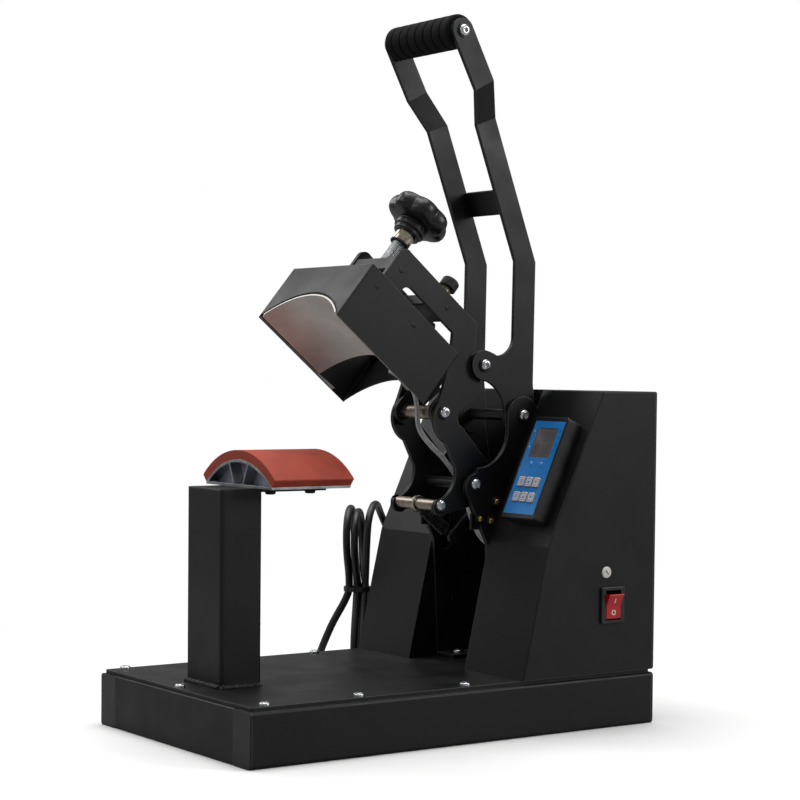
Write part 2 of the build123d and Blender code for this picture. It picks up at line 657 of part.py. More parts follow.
# ---------------------------------------------------------------- side frames
def frame_plate():
    """The right side frame: a boss for each fixed pivot on a foot that reaches the base."""
    by, bz = LEVER_PIVOT
    ey, ez = ARM_PIVOT
    hollow_y, hollow_z = ey + 4.0, bz - 14.5
    hollow = bz - 14.5 - ez - ARM_BOSS * 1.5
    face = outline(
        (by - LEVER_BOSS, bz), ((by, bz + LEVER_BOSS), (by + LEVER_BOSS, bz)),
        (FRAME_REAR_Y, bz - 70), (FRAME_REAR_Y, BASE_TOP_Z), (FRAME_FRONT_Y, BASE_TOP_Z),
        (ey + 14, ez - 52), (ey - 6, ez - 12),
        ((ey - ARM_BOSS, ez), (ey, ez + ARM_BOSS)), (hollow_y, hollow_z - hollow),
        ((hollow_y + hollow * 0.707, hollow_z - hollow * 0.707), (by - LEVER_BOSS, hollow_z + 2)))
    corners = face.vertices().filter_by(
        lambda corner: (abs(corner.X - ey - 14) < 0.1 and corner.Y < ez)
        or (abs(corner.X - FRAME_REAR_Y) < 0.1 and corner.Y > BASE_TOP_Z + 1))
    face = fillet(corners, 12)
    plate = side_plate(face, FRAME_INSIDE, FRAME_THICK)
    plate -= across(LEVER_PIVOT, BOLT_RADIUS + SCREW_GAP, FRAME_INSIDE - 1, CHANNEL_HALF_WIDTH + 1)
    plate -= across(ARM_PIVOT, BOLT_RADIUS + SCREW_GAP, FRAME_INSIDE - 1, CHANNEL_HALF_WIDTH + 1)
    foot = block(FRAME_INSIDE - FRAME_FOOT, FRAME_INSIDE + 0.1, FRAME_FRONT_Y, FRAME_REAR_Y,
                 BASE_TOP_Z, BASE_TOP_Z + FRAME_THICK)
    plate += foot
    for y in (FRAME_FRONT_Y + 14, FRAME_REAR_Y - 14):
        plate -= upright(FRAME_INSIDE - FRAME_FOOT / 2, y, BASE_TOP_Z - 1, BASE_TOP_Z + 9,
                         2.0 + SCREW_GAP)
    for place in frame_screw_places() + brace_screw_places():
        plate -= across(place, 2.0 + RUN_GAP, FRAME_INSIDE - 1, CHANNEL_HALF_WIDTH + 1)
    plate -= across(CABLE_HOLE, CABLE_HOLE_RADIUS, FRAME_INSIDE - 1, CHANNEL_HALF_WIDTH + 1)
    return plate


def brace_screw_places():
    """Brass screws that hold the spring's anchor bracket between the side frames."""
    ey, ez = ARM_PIVOT
    return [(ey + 23, ez - 15.5), (ey + 17, ez - 32), (ey + 5.5, ez - 30)]


def side_screws(places, x_face, shank):
    """Pan screws driven inwards through both side frames."""
    screws = []
    for place in places:
        screw = pan_screw(Pos(x_face, place[0], place[1]) * Rot(0, 90, 0), shank)
        screws += [screw, mirrored(screw)]
    return Compound(children=screws)


def anchor_bracket():
    """A folded sheet between the side frames, with a lug for the spring's rear hook."""
    ey, ez = ARM_PIVOT
    half = FRAME_INSIDE
    y_low, y_high = ey - 1, ey + 32
    z_low, z_high = ez - 39, ez - 9
    bracket = block(-half, half, y_high - 2, y_high, z_low, z_high)
    for side in (-1, 1):
        cheek_x = sorted((side * half, side * (half - 2)))
        cheek = block(cheek_x[0], cheek_x[1], y_low, y_high, z_low, z_high)
        cut = block(cheek_x[0] - 1, cheek_x[1] + 1, y_low - 1, y_low + 19, ez - 25, z_high + 1)
        bracket += cheek - cut
    for place in brace_screw_places():
        bracket -= across(place, 2.0 + RUN_GAP, half - 3, half + 1)
        bracket -= across(place, 2.0 + RUN_GAP, -half - 1, -half + 3)
    lug = hull_of_discs(SPRING_ANCHOR, 5.0, (y_high - 6.0, z_low + 8.0), 5.0)
    lug += Pos(y_high - 5.0, z_low + 11.0) * Rectangle(8.0, 16.0)
    bracket += side_plate(lug, -1.5, 3.0)
    bracket -= across(SPRING_ANCHOR, SPRING_WIRE / 2 + 0.6, -3, 3)
    return bracket


def foot_screws():
    screws = []
    for side in (-1, 1):
        for y in (FRAME_FRONT_Y + 14, FRAME_REAR_Y - 14):
            x = side * (FRAME_INSIDE - FRAME_FOOT / 2)
            screws.append(pan_screw(Pos(x, y, BASE_TOP_Z + FRAME_THICK), FRAME_THICK))
        for x in (CHANNEL_HALF_WIDTH + 20, CABINET_HALF_WIDTH - 20):
            place = Pos(side * x, CABINET_REAR_Y - 11, BASE_TOP_Z + CABINET_WALL)
            screws.append(pan_screw(place, CABINET_WALL))
    return screws


nodes["frame_plate_right"] = frame_plate()
nodes["frame_plate_left"] = mirrored(nodes["frame_plate_right"])
nodes["anchor_bracket"] = anchor_bracket()
nodes["bracket_screws"] = side_screws(brace_screw_places(), CHANNEL_HALF_WIDTH, FRAME_THICK + 2)
nodes["base_screws"] = Compound(
    children=plate_screws() + platen_screws() + cover_screws() + foot_screws())
nodes["axle_rods"] = Compound(children=[
    tapped_rod(centre, PIVOT_ROD_RADIUS, FRAME_INSIDE) for centre in (LEVER_PIVOT, ARM_PIVOT)])
nodes["axle_bolts"] = Compound(children=[
    bolt_across(centre, CHANNEL_HALF_WIDTH, FRAME_THICK + BOLT_DEPTH - 1, side, BOLT_RADIUS * 0.8)
    for centre in (LEVER_PIVOT, ARM_PIVOT) for side in (-1, 1)])


# ---------------------------------------------------------------- lever
def lever_sections():
    """Planes square to the lever at its two folds, and at the middle of its grip end."""
    first = LEVER_FOLD
    run = (LEVER_FOLD[0] - LEVER_KNEE[0], LEVER_FOLD[1] - LEVER_KNEE[1])
    lower = (run[0] / hypot(*run), run[1] / hypot(*run))
    toward = (HANDLE_CENTRE[0] - first[0], HANDLE_CENTRE[1] - first[1])
    share = SPREAD_LENGTH / hypot(*toward)
    second = (first[0] + lower[0] * SPREAD_LENGTH * 0.5 + toward[0] * share * 0.5,
              first[1] + lower[1] * SPREAD_LENGTH * 0.5 + toward[1] * share * 0.5)
    run = (HANDLE_CENTRE[0] - second[0], HANDLE_CENTRE[1] - second[1])
    upper = (run[0] / hypot(*run), run[1] / hypot(*run))
    return first, lower, second, upper


def beside(point, direction, distance):
    """A point moved square to a direction, towards +Y for a direction that points up."""
    return (point[0] + direction[1] * distance, point[1] - direction[0] * distance)


def lever_plate():
    """The right lever plate: a cranked strip with a lobe for the toggle pin."""
    half = LEVER_WIDTH / 2
    by, bz = LEVER_PIVOT
    ay, az = TOGGLE_PIN
    first, lower, second, upper = lever_sections()
    rear_y = by + LEVER_BOSS - 0.8
    knee_rear = (max(LEVER_KNEE[0] + half, rear_y - 2), LEVER_KNEE[1])
    knee_front = (LEVER_KNEE[0] - half - 1, LEVER_KNEE[1])
    neck = (knee_front[0] - 1, az + 23)
    strip = outline(
        (by + LEVER_BOSS, bz), (rear_y - 2, bz + 28), knee_rear, beside(first, lower, half),
        beside(first, lower, -half), knee_front, neck,
        ((neck[0] - 6, az + 12), (ay + 13, az + 8.5)),
        ((ay + TOGGLE_LOBE * 0.5, az + TOGGLE_LOBE * 0.866), (ay, az + TOGGLE_LOBE)),
        ((ay - TOGGLE_LOBE, az), (ay, az - TOGGLE_LOBE)),
        ((ay + 12, az - 19), (by - LEVER_BOSS, bz)),
        ((by, bz - LEVER_BOSS), (by + LEVER_BOSS, bz)))
    plate = side_plate(strip, LEVER_INSIDE, LEVER_THICK)
    end = outline(beside(second, upper, half), beside(HANDLE_CENTRE, upper, half),
                  ((HANDLE_CENTRE[0] + upper[0] * half, HANDLE_CENTRE[1] + upper[1] * half),
                   beside(HANDLE_CENTRE, upper, -half)),
                  beside(second, upper, -half))
    plate += side_plate(end, GRIP_INSIDE, LEVER_THICK)
    sections = []
    for centre, direction, inside in ((first, lower, LEVER_INSIDE), (second, upper, GRIP_INSIDE)):
        plane = Plane(origin=(inside + LEVER_THICK / 2, centre[0], centre[1]), x_dir=(1, 0, 0),
                      z_dir=(0, direction[0], direction[1]))
        sections.append(plane * Rectangle(LEVER_THICK, LEVER_WIDTH))
    plate += loft(sections, ruled=True)
    plate -= across(LEVER_PIVOT, PIVOT_ROD_RADIUS + RUN_GAP, LEVER_INSIDE - 1, FRAME_INSIDE)
    plate -= across(TOGGLE_PIN, BOLT_RADIUS + SCREW_GAP, LEVER_INSIDE - 1, FRAME_INSIDE)
    plate -= across(HANDLE_CENTRE, BOLT_RADIUS + SCREW_GAP, GRIP_INSIDE - 1,
                    GRIP_INSIDE + LEVER_THICK + 1)
    return plate


def lever_tie_place():
    """The middle of the tie plate's outer face, on the rear edges of the lever plates."""
    first, lower, second, upper = lever_sections()
    middle = (LEVER_KNEE[0] + lower[0] * LEVER_TIE_CENTRE, LEVER_KNEE[1] + lower[1] * LEVER_TIE_CENTRE)
    return beside(middle, lower, LEVER_WIDTH / 2 + 1.0), lower


def lever_tie():
    """A cross plate welded between the lever plates."""
    centre, along = lever_tie_place()
    plane = Plane(origin=(0, centre[0], centre[1]), x_dir=(1, 0, 0),
                  z_dir=(0, -along[1], along[0]))
    plate = extrude(plane * Rectangle(2 * LEVER_INSIDE, LEVER_TIE_HEIGHT), amount=LEVER_TIE_THICK)
    return plate


def grip_tube():
    """A foam grip on the handle rod, with shallow rings moulded round it."""
    half = GRIP_INSIDE - SHEET_GAP
    pitch = 2 * half / (GRIP_RINGS + 1)
    bore = HANDLE_ROD_RADIUS + SHEET_GAP
    edges = [Line((-half, bore), (-half, GRIP_RADIUS - 2)),
             ThreePointArc((-half, GRIP_RADIUS - 2), (0.6 - half, GRIP_RADIUS - 0.6),
                           (2 - half, GRIP_RADIUS))]
    here = (2 - half, GRIP_RADIUS)
    for ring in range(1, GRIP_RINGS + 1):
        x = ring * pitch - half
        edges.append(Line(here, (x - GRIP_RING_WIDTH / 2, GRIP_RADIUS)))
        here = (x + GRIP_RING_WIDTH / 2, GRIP_RADIUS)
        edges.append(ThreePointArc((x - GRIP_RING_WIDTH / 2, GRIP_RADIUS),
                                   (x, GRIP_RADIUS - GRIP_RING_DEPTH), here))
    edges += [Line(here, (half - 2, GRIP_RADIUS)),
              ThreePointArc((half - 2, GRIP_RADIUS), (half - 0.6, GRIP_RADIUS - 0.6),
                            (half, GRIP_RADIUS - 2)),
              Line((half, GRIP_RADIUS - 2), (half, bore)), Line((half, bore), (-half, bore))]
    tube = revolve(make_face(edges), Axis.X)
    return Pos(0, HANDLE_CENTRE[0], HANDLE_CENTRE[1]) * tube


def toggle_pin(side):
    """A bolt through a lever plate whose plain end reaches towards the link's eye."""
    head = bolt_across(TOGGLE_PIN, LEVER_INSIDE + LEVER_THICK, 0.01, 1)
    pin = head + across(TOGGLE_PIN, BOLT_RADIUS, LINK_INSIDE + LINK_THICK + SIDE_GAP,
                        LEVER_INSIDE + LEVER_THICK)
    return pin if side > 0 else mirrored(pin)


nodes["lever_plate_right"] = lever_plate()
nodes["lever_plate_left"] = mirrored(nodes["lever_plate_right"])
nodes["lever_tie"] = lever_tie()
nodes["handle_rod"] = tapped_rod(HANDLE_CENTRE, HANDLE_ROD_RADIUS, GRIP_INSIDE)
nodes["handle_grip"] = grip_tube()
nodes["lever_bolts"] = Compound(children=[toggle_pin(-1), toggle_pin(1)] + [
    bolt_across(HANDLE_CENTRE, GRIP_INSIDE + LEVER_THICK, LEVER_THICK + BOLT_DEPTH - 1, side,
                BOLT_RADIUS * 0.8) for side in (-1, 1)])


# ---------------------------------------------------------------- toggle links
def toggle_link():
    """A flat link from the arm's upper rod to the toggle pin."""
    face = hull_of_discs(UPPER_ROD_OPEN, LINK_LOBE, TOGGLE_PIN, LINK_LOBE)
    link = side_plate(face, LINK_INSIDE, LINK_THICK)
    link -= across(UPPER_ROD_OPEN, UPPER_ROD_RADIUS + RUN_GAP, LINK_INSIDE - 1, ARM_INSIDE)
    link -= across(TOGGLE_PIN, BOLT_RADIUS + RUN_GAP, LINK_INSIDE - 1, ARM_INSIDE)
    return link


nodes["toggle_links"] = Compound(children=[toggle_link(), mirrored(toggle_link())])


# ---------------------------------------------------------------- arm
def arm_plate():
    """The right arm plate: a beam with a leg into the head, and a swept neck to the pivot."""
    ey, ez = ARM_PIVOT
    cy, cz = UPPER_ROD
    dy, dz = LOWER_ROD
    front, rear = SCREW_Y - ARM_LEG / 2, SCREW_Y + ARM_LEG / 2
    recess = LINK_LENGTH - TOGGLE_PIN_RADIUS - 8
    side = recess * 0.437
    face = outline(
        (front, ARM_LEG_FOOT_Z), (front, ARM_TOP_Z - 7),
        ((front + 2.2, ARM_TOP_Z - 1.8), (front + 9, ARM_TOP_Z)), (cy - 23, ARM_TOP_Z),
        (cy - 9.5, cz + 61), ((cy - 6.5, cz + recess + 4), (cy, cz + recess)),
        ((cy + side * 0.5, sqrt(recess ** 2 - side ** 2 * 0.25) + cz),
         (cy + side, cz + sqrt(recess ** 2 - side ** 2))),
        (cy + 16.9, cz + 28.4), (cy + 11.3, cz + 10.3),
        ((cy + 13.6, cz + 5.4), (cy + 23.4, cz + 2.6)), (ey + 6.8, ez + 26.8),
        ((ey + ARM_LOBE * 0.9, ez + ARM_LOBE * 0.436), (ey + 15, ez - 12)),
        (dy + 9.3, dz - 1.2), ((dy, dz - LOWER_LOBE), (dy - 6, dz - 1)),
        ((dy + 0.4, dz + 18.4), (ey - 20.1, ez + 1.9)), (cy + 17.8, cz - 18.6),
        ((cy + 4.5, cz - 17.8), (cy - 9.7, cz + 0.7)),
        ((cy - 18.9, cz + 26.1), (cy - 37, ARM_BEAM_Z)), (rear + 8.5, ARM_BEAM_Z),
        ((rear + 2.5, ARM_BEAM_Z - 2.5), (rear, ARM_BEAM_Z - 9)), (rear, ARM_LEG_FOOT_Z))
    plate = side_plate(face, ARM_INSIDE, ARM_THICK)
    x_low, x_high = ARM_INSIDE - 1, ARM_INSIDE + ARM_THICK + 1
    plate -= across(ARM_PIVOT, PIVOT_ROD_RADIUS + RUN_GAP, x_low, x_high)
    plate -= across(LOWER_ROD, BOLT_RADIUS * 0.8 + SCREW_GAP, x_low, x_high)
    width = 2 * (BOLT_RADIUS * 0.8 + SCREW_GAP)
    slot = Pos(cy, cz) * (Rot(0, 0, SLOT_TURN) * SlotOverall(SLOT_TRAVEL + width, width))
    plate -= side_plate(slot, x_low, x_high - x_low)
    for y, z in arm_screw_places():
        plate -= across((y, z), 2.0 + SCREW_GAP, x_low, x_high)
    return opened(plate)


def arm_screw_places():
    """Screws through the arm plates into the screw block and the tie bar."""
    block_z = (BLOCK_BOTTOM_Z + BLOCK_TOP_Z) / 2
    return [(SCREW_Y, block_z), (STOP_Y - 6, TIE_BAR_Z + TIE_BAR_HEIGHT / 2)]


def arm_rod(centre, radius):
    return opened(tapped_rod(centre, radius, ARM_INSIDE))


def arm_bolts():
    bolts = []
    for centre in (UPPER_ROD, LOWER_ROD):
        for side in (-1, 1):
            bolt = bolt_across(centre, ARM_INSIDE + ARM_THICK, ARM_THICK + BOLT_DEPTH - 1, side,
                               BOLT_RADIUS * 0.8)
            bolts.append(opened(bolt))
    return bolts


def arm_screws():
    screws = []
    for y, z in arm_screw_places():
        screw = pan_screw(Pos(ARM_INSIDE + ARM_THICK, y, z) * Rot(0, 90, 0), ARM_THICK + 8)
        screws += [opened(screw), opened(mirrored(screw))]
    return screws


def tapped_bar(shape):
    """Drills a cross bar of the arm for the screws in its ends."""
    for y, z in arm_screw_places():
        shape -= across((y, z), 2.0 + RUN_GAP, ARM_INSIDE - 8.1, ARM_INSIDE + 1)
        shape -= across((y, z), 2.0 + RUN_GAP, -ARM_INSIDE - 1, -ARM_INSIDE + 8.1)
    return opened(shape)


def screw_block():
    """The tapped block between the legs, through which the pressure screw runs."""
    bar = block(-ARM_INSIDE, ARM_INSIDE, SCREW_Y - 10, SCREW_Y + 10, BLOCK_BOTTOM_Z, BLOCK_TOP_Z)
    bar = chamfer(bar.edges().filter_by(Axis.X), 1.0)
    bar -= upright(0, SCREW_Y, BLOCK_BOTTOM_Z - 1, BLOCK_TOP_Z + 1, SCREW_RADIUS + RUN_GAP)
    return tapped_bar(bar)


def arm_tie():
    """The bar between the beams that carries the lever's stop."""
    y_low, y_high = STOP_Y - 6 - TIE_BAR_DEPTH / 2, STOP_Y - 6 + TIE_BAR_DEPTH / 2
    bar = block(-ARM_INSIDE, ARM_INSIDE, y_low, y_high, TIE_BAR_Z, TIE_BAR_Z + TIE_BAR_HEIGHT)
    bar = chamfer(bar.edges().filter_by(Axis.X), 1.0)
    bar -= upright(0, STOP_Y, TIE_BAR_Z + 2, TIE_BAR_Z + TIE_BAR_HEIGHT + 1, 3.0 + RUN_GAP)
    return tapped_bar(bar)


def stop_top():
    """Where the lever's tie plate stands above the arm when the press is shut."""
    centre, along = lever_tie_place()
    inner = beside(centre, along, -LEVER_TIE_THICK)
    shut = turned(inner, LEVER_ANGLE, LEVER_PIVOT)
    return shut[1] - STOP_GAP


def stop_stud():
    """A shouldered stud with a hexagon, screwed into the arm's tie bar."""
    low = TIE_BAR_Z + TIE_BAR_HEIGHT
    stud = upright(0, STOP_Y, low - 9, low, 3.0)
    stud += extrude(Pos(0, STOP_Y, low) * RegularPolygon(7.5, 6), amount=5)
    stud += upright(0, STOP_Y, low + 5, stop_top() - STOP_RUBBER, 4.5)
    stud += upright(0, STOP_Y, stop_top() - STOP_RUBBER, stop_top() - 3, 2.5)
    return opened(stud)


def stop_buffer():
    """The rubber cap on the stop stud."""
    top = stop_top()
    cap = upright(0, STOP_Y, top - STOP_RUBBER, top, 8.0)
    cap = fillet(cap.edges().filter_by(GeomType.CIRCLE).sort_by(Axis.Z)[-1], 2.5)
    cap -= upright(0, STOP_Y, top - STOP_RUBBER - 1, top - 3, 2.5)
    return opened(cap)


LEVER_ANGLE = degrees(
    atan2(UPPER_ROD[1] - LEVER_PIVOT[1], UPPER_ROD[0] - LEVER_PIVOT[0])
    - atan2(TOGGLE_PIN[1] - LEVER_PIVOT[1], TOGGLE_PIN[0] - LEVER_PIVOT[0])) % 360
nodes["arm_plate_right"] = arm_plate()
nodes["arm_plate_left"] = mirrored(nodes["arm_plate_right"])
nodes["upper_rod"] = arm_rod(UPPER_ROD, UPPER_ROD_RADIUS)
nodes["lower_rod"] = arm_rod(LOWER_ROD, LOWER_ROD_RADIUS)
nodes["arm_bolts"] = Compound(children=arm_bolts() + arm_screws())
nodes["screw_block"] = screw_block()
nodes["arm_tie"] = arm_tie()
nodes["stop_stud"] = stop_stud()
nodes["stop_buffer"] = stop_buffer()


# ---------------------------------------------------------------- head
def head_cover():
    """A folded sheet skirt round the heater, arched at the front and the rear."""
    half = HEAD_HALF_WIDTH
    box = block(-half, half, HEAD_FRONT_Y, HEAD_REAR_Y, HEAD_CLOSED_Z, HEAD_TOP_Z)
    box = fillet(box.edges().filter_by(Axis.Z), HEAD_BEND)
    inside = block(-half + HEAD_WALL, half - HEAD_WALL, HEAD_FRONT_Y + HEAD_WALL,
                   HEAD_REAR_Y - HEAD_WALL, HEAD_CLOSED_Z - 1, HEAD_TOP_Z + 1)
    box -= inside
    arch = disc((0, PLATEN_CENTRE_Z), HEAD_ARCH_RADIUS)
    keep = Pos(0, HEAD_TOP_Z - 100) * Rectangle(2 * (half - HEAD_WALL), 200)
    box -= from_front(arch & keep, HEAD_FRONT_Y - 1, HEAD_LENGTH + 2)
    for side in (-1, 1):
        lip_x = sorted((side * (half - HEAD_WALL), side * (half - HEAD_WALL - HEAD_LIP)))
        lip = block(lip_x[0], lip_x[1], HEAD_FRONT_Y + HEAD_WALL, HEAD_REAR_Y - HEAD_WALL,
                    HEAD_TOP_Z - HEAD_WALL, HEAD_TOP_Z)
        box += lip
        for y in carrier_screw_rows():
            box -= Pos(side * half, y, CARRIER_Z + CARRIER_CHEEK / 2) * (
                Rot(0, 90, 0) * Cylinder(2.0 + SCREW_GAP, 8))
    return opened(box)


def heater():
    """A cast aluminium heater: a curved plate with a raised boss along its back."""
    inner = PLATEN_RADIUS + HEATER_GAP
    outer = inner + HEATER_THICK
    half = HEAD_HALF_WIDTH - HEAD_WALL - HEATER_SIDE_GAP
    low = PLATEN_CENTRE_Z + sqrt(inner ** 2 - half ** 2)
    high = PLATEN_CENTRE_Z + sqrt(outer ** 2 - half ** 2)
    plate = outline((-half, low), (-half, high), ((0, PLATEN_CENTRE_Z + outer), (half, high)),
                    (half, low), ((0, PLATEN_CENTRE_Z + inner), (-half, low)))
    front = HEAD_FRONT_Y + HEAD_WALL
    solid = from_front(plate, front, PLATEN_LENGTH)
    boss_low = PLATEN_CENTRE_Z + inner + HEATER_THICK / 2
    boss = block(-HEATER_BOSS_WIDTH / 2, HEATER_BOSS_WIDTH / 2, front + 8,
                 front + PLATEN_LENGTH - 8, boss_low, HEATER_TOP_Z)
    boss = fillet(boss.edges().filter_by(Axis.Z), 6)
    solid += boss
    for side in (-1, 1):
        socket = Pos(side * 38, front + PLATEN_LENGTH, PLATEN_CENTRE_Z + inner * 0.9 + 11) * (
            Rot(90, 0, 0) * Cylinder(3.0, 20))
        solid -= socket
    for x, y in heater_bolt_places():
        solid -= upright(x, y, HEATER_TOP_Z - 6, HEATER_TOP_Z + 1, 2.0 + RUN_GAP)
    return opened(solid)


def heater_bolt_places():
    half = HEATER_BOSS_WIDTH / 2 - 8
    middle = HEAD_FRONT_Y + HEAD_WALL + PLATEN_LENGTH / 2
    return [(-half, middle - 22), (half, middle - 22), (-half, middle + 22), (half, middle + 22)]


def carrier_screw_rows():
    middle = HEAD_FRONT_Y + HEAD_WALL + PLATEN_LENGTH / 2
    return (middle - 24, middle + 24)


def heater_carrier():
    """The steel saddle on the heater: cheeks screwed to the cover, and guides for the legs."""
    half = HEAD_HALF_WIDTH - HEAD_WALL - SHEET_GAP
    middle = HEAD_FRONT_Y + HEAD_WALL + PLATEN_LENGTH / 2
    y_low, y_high = middle - 32, middle + 32
    z_low, z_high = CARRIER_Z, CARRIER_Z + CARRIER_THICK
    saddle = block(-half, half, y_low, y_high, z_low, z_high)
    for side in (-1, 1):
        cheek_x = sorted((side * half, side * (half - CARRIER_THICK)))
        saddle += block(cheek_x[0], cheek_x[1], y_low, y_high, z_low, z_low + CARRIER_CHEEK)
        guide_x = sorted((side * (ARM_INSIDE - RUN_GAP), side * (ARM_INSIDE - 3)))
        saddle += block(guide_x[0], guide_x[1], SCREW_Y - ARM_LEG / 2, SCREW_Y + ARM_LEG / 2,
                        z_low, BLOCK_BOTTOM_Z - HEAD_LIFT - 1.5)
        for y in carrier_screw_rows():
            saddle -= Pos(side * half, y, CARRIER_Z + CARRIER_CHEEK / 2) * (
                Rot(0, 90, 0) * Cylinder(2.0 + RUN_GAP, 10))
    cup = upright(0, SCREW_Y, z_low, z_low + CUP_HEIGHT, SCREW_RADIUS + 5)
    saddle += cup
    saddle -= upright(0, SCREW_Y, z_low + 2, z_low + CUP_HEIGHT + 1, SCREW_RADIUS + RUN_GAP)
    for x, y in heater_bolt_places():
        saddle -= upright(x, y, z_low - 1, z_high + 1, 2.0 + SCREW_GAP)
    return opened(saddle)


def head_screws():
    """Screws through the cover into the carrier, and through the carrier into the heater."""
    screws = []
    for y in carrier_screw_rows():
        place = Pos(HEAD_HALF_WIDTH, y, CARRIER_Z + CARRIER_CHEEK / 2) * Rot(0, 90, 0)
        screw = pan_screw(place, HEAD_WALL + CARRIER_THICK)
        screws += [opened(screw), opened(mirrored(screw))]
    for x, y in heater_bolt_places():
        screws.append(opened(pan_screw(Pos(x, y, CARRIER_Z + CARRIER_THICK), CARRIER_THICK + 5)))
    return Compound(children=screws)


nodes["head_cover"] = head_cover()
nodes["heater"] = heater()
nodes["heater_carrier"] = heater_carrier()
nodes["head_screws"] = head_screws()


# ---------------------------------------------------------------- pressure screw
def pressure_screw():
    return opened(upright(0, SCREW_Y, CARRIER_Z + 2 + RUN_GAP, COLLAR_TOP_Z, SCREW_RADIUS))


def lock_nut():
    """A hexagon nut that locks the knob on the screw."""
    nut = extrude(Pos(0, SCREW_Y, NUT_BOTTOM_Z) * RegularPolygon(NUT_ACROSS_FLATS / 2, 6, False),
                  amount=NUT_HEIGHT)
    cone = Cone(NUT_ACROSS_FLATS * 0.5, NUT_ACROSS_FLATS * 0.5 + NUT_HEIGHT, NUT_HEIGHT)
    nut &= Pos(0, SCREW_Y, NUT_BOTTOM_Z + NUT_HEIGHT / 2) * cone
    nut -= upright(0, SCREW_Y, NUT_BOTTOM_Z - 1, NUT_BOTTOM_Z + NUT_HEIGHT + 1,
                   SCREW_RADIUS + RUN_GAP)
    return opened(nut)


def star_knob():
    """A moulded star knob with rounded lobes, on a stepped collar."""
    low = NUT_BOTTOM_Z + NUT_HEIGHT
    valley = KNOB_RADIUS * 0.80
    star = Circle(valley)
    for lobe in range(KNOB_LOBES):
        turn = 360 * lobe / KNOB_LOBES
        star += Rot(0, 0, turn) * (Pos(KNOB_RADIUS - 8.5, 0) * Circle(8.5))
    body = extrude(star, amount=KNOB_HEIGHT)
    valleys = body.edges().filter_by(Axis.Z).filter_by(
        lambda edge: hypot(edge.center().X, edge.center().Y) < KNOB_RADIUS - 1)
    body = Pos(0, SCREW_Y, COLLAR_TOP_Z) * fillet(valleys, 2.0)
    rim = body.faces().sort_by(Axis.Z)
    body = fillet(rim[-1].edges() + rim[0].edges(), 2.2)
    dish = Pos(0, SCREW_Y, COLLAR_TOP_Z + KNOB_HEIGHT + 27) * Sphere(30)
    body -= dish
    collar = upright(0, SCREW_Y, low, COLLAR_TOP_Z + 0.5, COLLAR_RADIUS - 2.5)
    collar += upright(0, SCREW_Y, low + 4, COLLAR_TOP_Z + 0.5, COLLAR_RADIUS)
    knob = body + collar
    knob -= upright(0, SCREW_Y, low - 1, COLLAR_TOP_Z + RUN_GAP, SCREW_RADIUS + RUN_GAP)
    return opened(knob)


nodes["pressure_screw"] = pressure_screw()
nodes["lock_nut"] = lock_nut()
nodes["star_knob"] = star_knob()


# ---------------------------------------------------------------- controller
def slope_place():
    """The middle of the controller's back: X across, Y up the slope, Z out of it."""
    along = radians(SLOPE_ANGLE)
    origin = (CASE_X, CABINET_TOP_Y - CASE_ON_SLOPE * sin(along),
              CABINET_TOP_Z - CASE_ON_SLOPE * cos(along))
    return Plane(origin=origin, x_dir=(1, 0, 0), z_dir=(0, -cos(along), sin(along)))


def controller_case():
    """The plastic box on the slope, recessed for its face sheet, with key wells."""
    case = Pos(0, 0, CASE_DEPTH / 2) * Box(CASE_WIDTH, CASE_LENGTH, CASE_DEPTH)
    case = fillet(case.edges().filter_by(Axis.Z), 2.5)
    case = fillet(case.faces().sort_by(Axis.Z)[-1].edges(), 0.8)
    case -= Pos(0, 0, CASE_DEPTH) * Box(FACE_WIDTH, FACE_LENGTH, 2 * FACE_THICK)
    window = Pos(0, DISPLAY_UP, CASE_DEPTH - FACE_THICK) * Box(DISPLAY_WIDTH, DISPLAY_LENGTH, 5)
    case -= window
    for x, y in key_places():
        case -= Pos(x, y, CASE_DEPTH) * Box(KEY_WIDTH + 0.6, KEY_LENGTH + 0.6, 2 * KEY_WELL)
    return slope_place() * case


def key_places():
    top = FACE_LENGTH / 2 - KEY_FROM_TOP
    return [(KEY_PITCH * column, top - KEY_ROW_PITCH * row)
            for row in (0, 1) for column in (-1, 0, 1)]


def controller_face():
    """The thin printed sheet on the controller, cut out for the display and the keys."""
    sheet = Pos(0, 0, CASE_DEPTH - FACE_THICK / 2) * Box(
        FACE_WIDTH - SHEET_GAP, FACE_LENGTH - SHEET_GAP, FACE_THICK)
    sheet -= Pos(0, DISPLAY_UP, CASE_DEPTH) * Box(DISPLAY_WIDTH, DISPLAY_LENGTH, 5)
    for x, y in key_places():
        sheet -= Pos(x, y, CASE_DEPTH) * Box(KEY_WIDTH + 0.6, KEY_LENGTH + 0.6, 5)
    return slope_place() * sheet


def display():
    """The display's window, set a little below the face."""
    z = CASE_DEPTH - FACE_THICK - 2.5
    window = Pos(0, DISPLAY_UP, z + 1.5) * Box(
        DISPLAY_WIDTH - 2 * SHEET_GAP, DISPLAY_LENGTH - 2 * SHEET_GAP, 3.0)
    return slope_place() * window


def key(x, y):
    """A key cap that can be pressed into its well."""
    low = CASE_DEPTH - KEY_WELL + KEY_TRAVEL + 0.2
    cap = Pos(x, y, (low + CASE_DEPTH + KEY_RISE) / 2) * Box(
        KEY_WIDTH, KEY_LENGTH, CASE_DEPTH + KEY_RISE - low)
    cap = fillet(cap.edges().filter_by(Axis.Z), 1.2)
    cap = fillet(cap.faces().sort_by(Axis.Z)[-1].edges(), 0.4)
    return slope_place() * cap


nodes["controller_case"] = controller_case()
nodes["controller_face"] = controller_face()
nodes["display"] = display()
for number, place in enumerate(key_places(), start=1):
    nodes["key_" + str(number)] = key(*place)


